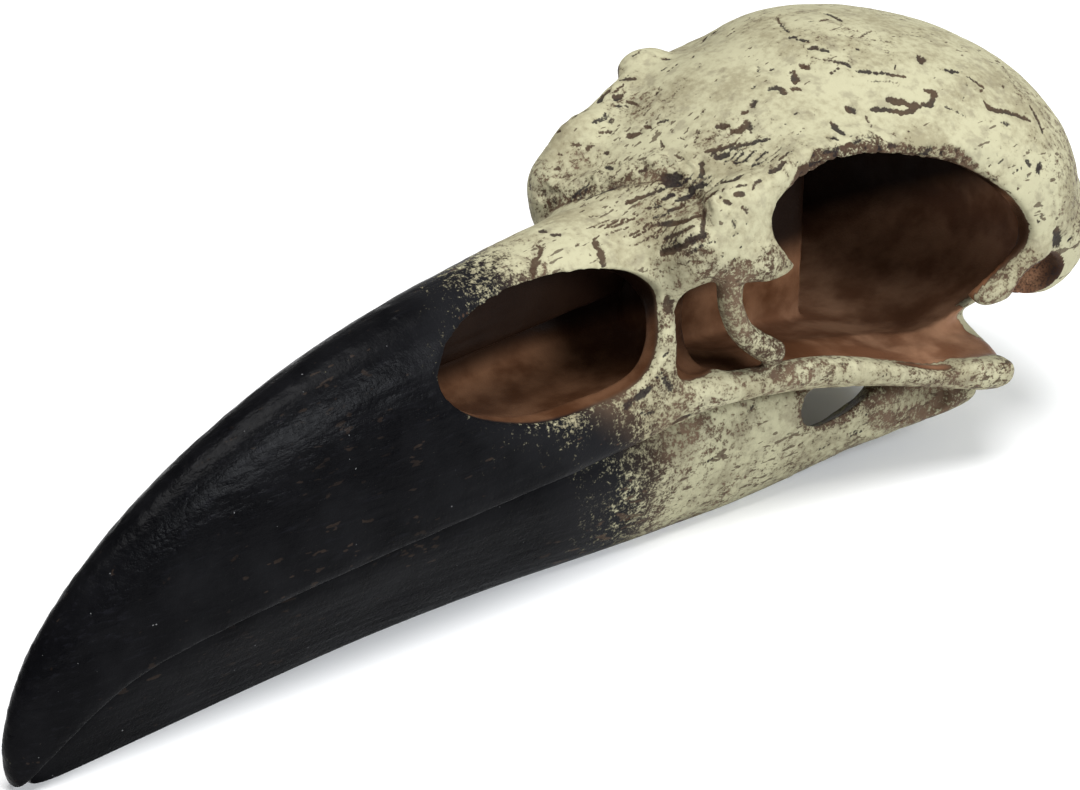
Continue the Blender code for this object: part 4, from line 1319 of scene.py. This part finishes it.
def make_dry_brush():
    """Topcoat dragged over an underpaint: it catches on high grain and misses where the wash shows."""
    tree, given, out = group(
        "dry_brush",
        (
            ("Underpaint", "NodeSocketColor", (0.1, 0.06, 0.04, 1)),
            ("Topcoat Light", "NodeSocketColor", (0.8, 0.76, 0.55, 1)),
            ("Topcoat Dark", "NodeSocketColor", (0.6, 0.55, 0.36, 1)),
            ("Bare", "NodeSocketFloat", 0.2),
        ),
        (("Color", "NodeSocketColor"), ("Cover", "NodeSocketFloat"), ("Height", "NodeSocketFloat")),
    )
    where = node(tree, "TexCoord").outputs["Object"]
    fine = grain(tree, where, 2500.0, 4.0, 0.62)
    middle = grain(tree, where, 850.0, 4.0, 0.6)
    broad = grain(tree, where, 90.0, 3.0)
    catch = weighted(tree, (fine, 0.5), (middle, 0.5))
    catch = maths(tree, "ADD", swing(tree, catch, 2.6), 0.5)
    bare = given.outputs["Bare"]
    cover = ranged(tree, catch, maths(tree, "SUBTRACT", bare, 0.20), maths(tree, "ADD", bare, 0.12))
    tone = weighted(tree, (broad, 0.6), (middle, 0.4))
    tone = maths(tree, "SUBTRACT", tone, maths(tree, "MULTIPLY", bare, 0.22))
    lighter = ranged(tree, tone, 0.32, 0.54)
    top = mixed(tree, lighter, given.outputs["Topcoat Dark"], given.outputs["Topcoat Light"])
    smudge = ranged(tree, grain(tree, where, 380.0, 3.0, 0.6), 0.50, 0.70, 0.0, 0.45)
    top = mixed(tree, smudge, top, (0.150, 0.128, 0.088))
    tree.links.new(mixed(tree, cover, given.outputs["Underpaint"], top), out.inputs["Color"])
    tree.links.new(cover, out.inputs["Cover"])
    tree.links.new(weighted(tree, (cover, 0.5), (fine, 0.5)), out.inputs["Height"])
    return tree


def make_brushed_black():
    """Satin black paint: long brush hairs, a little dust, and a rougher speckle."""
    tree, given, out = group(
        "brushed_black",
        (
            ("Black", "NodeSocketColor", (0.0013, 0.0013, 0.0017, 1)),
            ("Worn", "NodeSocketColor", (0.0065, 0.0065, 0.0085, 1)),
        ),
        (("Color", "NodeSocketColor"), ("Roughness", "NodeSocketFloat"), ("Height", "NodeSocketFloat")),
    )
    where = node(tree, "TexCoord").outputs["Object"]
    hairs = grain(tree, where, 1500.0, 3.0, 0.6, (0.05, 1.0, 1.0))
    speckle = grain(tree, where, 1150.0, 3.0, 0.6)
    cloud = grain(tree, where, 60.0, 3.0)
    dust = ranged(tree, grain(tree, where, 1300.0, 1.0), 0.80, 0.83)
    patches = ranged(tree, cloud, 0.4, 0.7, 0.15, 0.7)
    worn = maths(tree, "MULTIPLY", ranged(tree, hairs, 0.52, 0.75), patches)
    colour = mixed(tree, worn, given.outputs["Black"], given.outputs["Worn"])
    dusty = mixed(tree, maths(tree, "MULTIPLY", dust, 0.35), colour, (0.4, 0.4, 0.4))
    tree.links.new(dusty, out.inputs["Color"])
    tree.links.new(ranged(tree, speckle, 0.3, 0.7, 0.22, 0.36), out.inputs["Roughness"])
    tree.links.new(weighted(tree, (hairs, 0.4), (speckle, 0.6)), out.inputs["Height"])
    return tree


def painted_resin(name, brush, black_paint, cream_light, cream_dark):
    """The cast's paint: cream dragged over brown, black on the bill, a glossy brown in the hollows, with
    painted shade in their upper parts and painted light on the head hollow's floor and rear wall.
    """
    material = bpy.data.materials.new(name)
    material.use_nodes = True
    tree = material.node_tree
    shader = tree.nodes["Principled BSDF"]

    def layer(label):
        found = node(tree, "Attribute", attribute_type="GEOMETRY", attribute_name=label)
        return found.outputs["Fac"]

    groove, wash, black, inside = (layer(label) for label in ("groove", "wash", "black", "inside"))
    where = node(tree, "TexCoord").outputs["Object"]
    blotch = grain(tree, where, 110.0, 4.0)
    blacker = ranged(tree, black, 0.0, 0.5)
    along, across, height = axes(tree, where)

    # Painted shade in the hollow, standing for the shadow under the brow and roof: it darkens upwards, at its
    # outer rear corners and towards the front, in metres
    upwards = maths(tree, "ADD", height, maths(tree, "MULTIPLY", across, 0.5))
    painted_shade_mask = ranged(tree, upwards, 0.0285, 0.0360)
    outwards = ranged(tree, maths(tree, "ABSOLUTE", across), 0.029, 0.033)
    corner = maths(tree, "MULTIPLY", outwards, ranged(tree, along, 0.068, 0.072))
    painted_shade_mask = maths(tree, "MAXIMUM", painted_shade_mask, maths(tree, "MULTIPLY", corner, 0.85))
    painted_shade_mask = maths(tree, "MAXIMUM", painted_shade_mask, ranged(tree, along, 0.024, 0.044, 0.50, 0.0))

    # Painted light: its floor and its rear wall are a lighter, lit brown, where lamp light falls in through
    # the eye openings
    floor = ranged(tree, height, 0.021, 0.027, 1.0, 0.0)
    painted_light_mask = maths(tree, "MULTIPLY", floor, ranged(tree, along, 0.03, 0.045))
    painted_light_mask = maths(tree, "MAXIMUM", painted_light_mask, ranged(tree, along, 0.066, 0.076))
    patchy = ranged(tree, blotch, 0.35, 0.65)
    brown = mixed(tree, patchy, (0.050, 0.031, 0.020), (0.105, 0.069, 0.045))
    red_brown = mixed(tree, patchy, (0.085, 0.034, 0.015), (0.190, 0.092, 0.048))
    lit_brown = mixed(tree, patchy, (0.135, 0.060, 0.031), (0.280, 0.150, 0.086))
    red_brown = mixed(tree, painted_light_mask, red_brown, lit_brown)
    # The hollow's brown turns near-black under the painted shade
    deep = mixed(tree, maths(tree, "MULTIPLY", painted_shade_mask, 0.97), red_brown, (0.006, 0.003, 0.002))
    under = mixed(tree, blacker, brown, (0.007, 0.007, 0.008))
    under = mixed(tree, inside, under, deep)

    drag = node(tree, "Group", node_tree=brush)
    drag.inputs["Topcoat Light"].default_value = (*cream_light, 1)
    drag.inputs["Topcoat Dark"].default_value = (*cream_dark, 1)
    tree.links.new(under, drag.inputs["Underpaint"])
    bare = maths(tree, "ADD", wash, black)
    bare = maths(tree, "ADD", bare, maths(tree, "MULTIPLY", inside, 1.6))
    tree.links.new(bare, drag.inputs["Bare"])

    coat = node(tree, "Group", node_tree=black_paint)
    ragged = maths(tree, "ADD", black, swing(tree, blotch, 0.6))
    full_black = ranged(tree, ragged, 0.62, 1.15)
    full_black = maths(tree, "MULTIPLY", full_black, maths(tree, "SUBTRACT", 1.0, inside))
    colour = mixed(tree, full_black, drag.outputs["Color"], coat.outputs["Color"])
    dashes = grain(tree, where, 1000.0, 2.0, 0.5, (0.34, 1.0, 1.0))
    clusters = grain(tree, where, 45.0, 2.0)
    dash_edge = ranged(tree, clusters, 0.38, 0.66, 0.75, 0.61)
    dashed = ranged(tree, maths(tree, "SUBTRACT", dashes, dash_edge), 0.0, 0.035, 0.0, 0.8)
    hidden = maths(tree, "MAXIMUM", inside, full_black)
    dashed = maths(tree, "MULTIPLY", dashed, maths(tree, "SUBTRACT", 1.0, hidden))
    colour = mixed(tree, dashed, colour, (0.055, 0.036, 0.024))
    stain = mixed(tree, ranged(tree, blotch, 0.42, 0.58), (0.018, 0.014, 0.014), (0.048, 0.028, 0.018))
    stain = mixed(tree, full_black, stain, (0.002, 0.002, 0.002))
    torn = swing(tree, grain(tree, where, 2600.0, 3.0), 0.9)
    filled = ranged(tree, maths(tree, "ADD", groove, torn), 0.30, 0.62, 0.0, 0.94)
    colour = mixed(tree, maths(tree, "MULTIPLY", filled, ranged(tree, groove, 0.02, 0.12)), colour, stain)
    tree.links.new(colour, shader.inputs["Base Color"])

    shader.inputs["Specular IOR Level"].default_value = 0.032
    rough = ranged(tree, drag.outputs["Cover"], 0.0, 1.0, 0.34, 0.62)
    rough = between(tree, full_black, rough, coat.outputs["Roughness"])
    tree.links.new(rough, shader.inputs["Roughness"])

    black_relief = maths(tree, "MULTIPLY", coat.outputs["Height"], 1.4)
    relief = between(tree, full_black, drag.outputs["Height"], black_relief)
    bump = node(tree, "Bump")
    bump.inputs["Strength"].default_value = 0.55
    bump.inputs["Distance"].default_value = 0.00025
    tree.links.new(relief, bump.inputs["Height"])
    tree.links.new(bump.outputs["Normal"], shader.inputs["Normal"])
    return material


def set_stage():
    shape = bmesh.new()
    bmesh.ops.create_grid(shape, x_segments=1, y_segments=1, size=3.0)
    floor = new_object("floor", shape)
    floor.data.materials.append(plain("pale_floor", (0.92, 0.92, 0.92), 0.8))
    bpy.context.scene.view_settings.view_transform = "Standard"
    world = bpy.data.worlds.new("studio")
    bpy.context.scene.world = world
    world.use_nodes = True
    backdrop = world.node_tree.nodes["Background"]
    backdrop.inputs["Color"].default_value = (1.0, 1.0, 1.0, 1.0)
    backdrop.inputs["Strength"].default_value = 0.30
    light("top_softbox", (-0.1, -0.1, 0.9), (0, 0, 0), 0.6, 10.4)
    light("side_softbox", (0.10, -0.80, 0.52), (-0.03, 0, 0.03), 0.34, 7.4, (0.92, 0.96, 1.0))


def set_camera():
    turn, tilt = math.radians(CAMERA_TURN), math.radians(CAMERA_TILT)
    back = Vector((math.sin(turn) * math.cos(tilt), -math.cos(turn) * math.cos(tilt), math.sin(tilt)))
    camera = bpy.data.cameras.new("camera")
    camera.sensor_fit = "HORIZONTAL"
    camera.sensor_width = SENSOR
    camera.lens = IMAGE_WIDTHS_DEEP * SENSOR
    camera.clip_start = 0.01
    holder = bpy.data.objects.new("camera", camera)
    holder.location = place(CAMERA_BACK, CAMERA_OUT, CAMERA_HEIGHT)
    holder.rotation_euler = back.to_track_quat("Z", "Y").to_euler()
    bpy.context.scene.collection.objects.link(holder)
    bpy.context.scene.camera = holder


whole_skull = skull_clay()
outer_skin = BVHTree.FromPolygons(
    [vertex.co for vertex in whole_skull.data.vertices], [face.vertices for face in whole_skull.data.polygons]
)
skull = hollow_skull(whole_skull)
jaw = jaw_clay()
dry_brush, brushed_black = make_dry_brush(), make_brushed_black()
skull_creams = ((0.352, 0.333, 0.220), (0.232, 0.208, 0.131))
skull_nodes = ("upper_bill", "cranium", "cheek_bar_left", "cheek_bar_right")
jaw_creams = ((0.318, 0.303, 0.198), (0.198, 0.180, 0.116))
for thing, name, work, creams, nodes, slot in (
    (skull, "skull_cast", work_skull, skull_creams, skull_nodes, "bone_paint"),
    (jaw, "lower_jaw_cast", work_jaw, jaw_creams, ("lower_jaw",), "jaw_paint"),
):
    keep_largest(thing)
    thing.name = name
    work(thing, outer_skin)
    thing.data.materials.clear()
    thing.data.materials.append(painted_resin(name + "_paint", dry_brush, brushed_black, *creams))
    thing.data.shade_smooth()
    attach(thing, "root")
    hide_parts(*nodes)

set_stage()
set_camera()
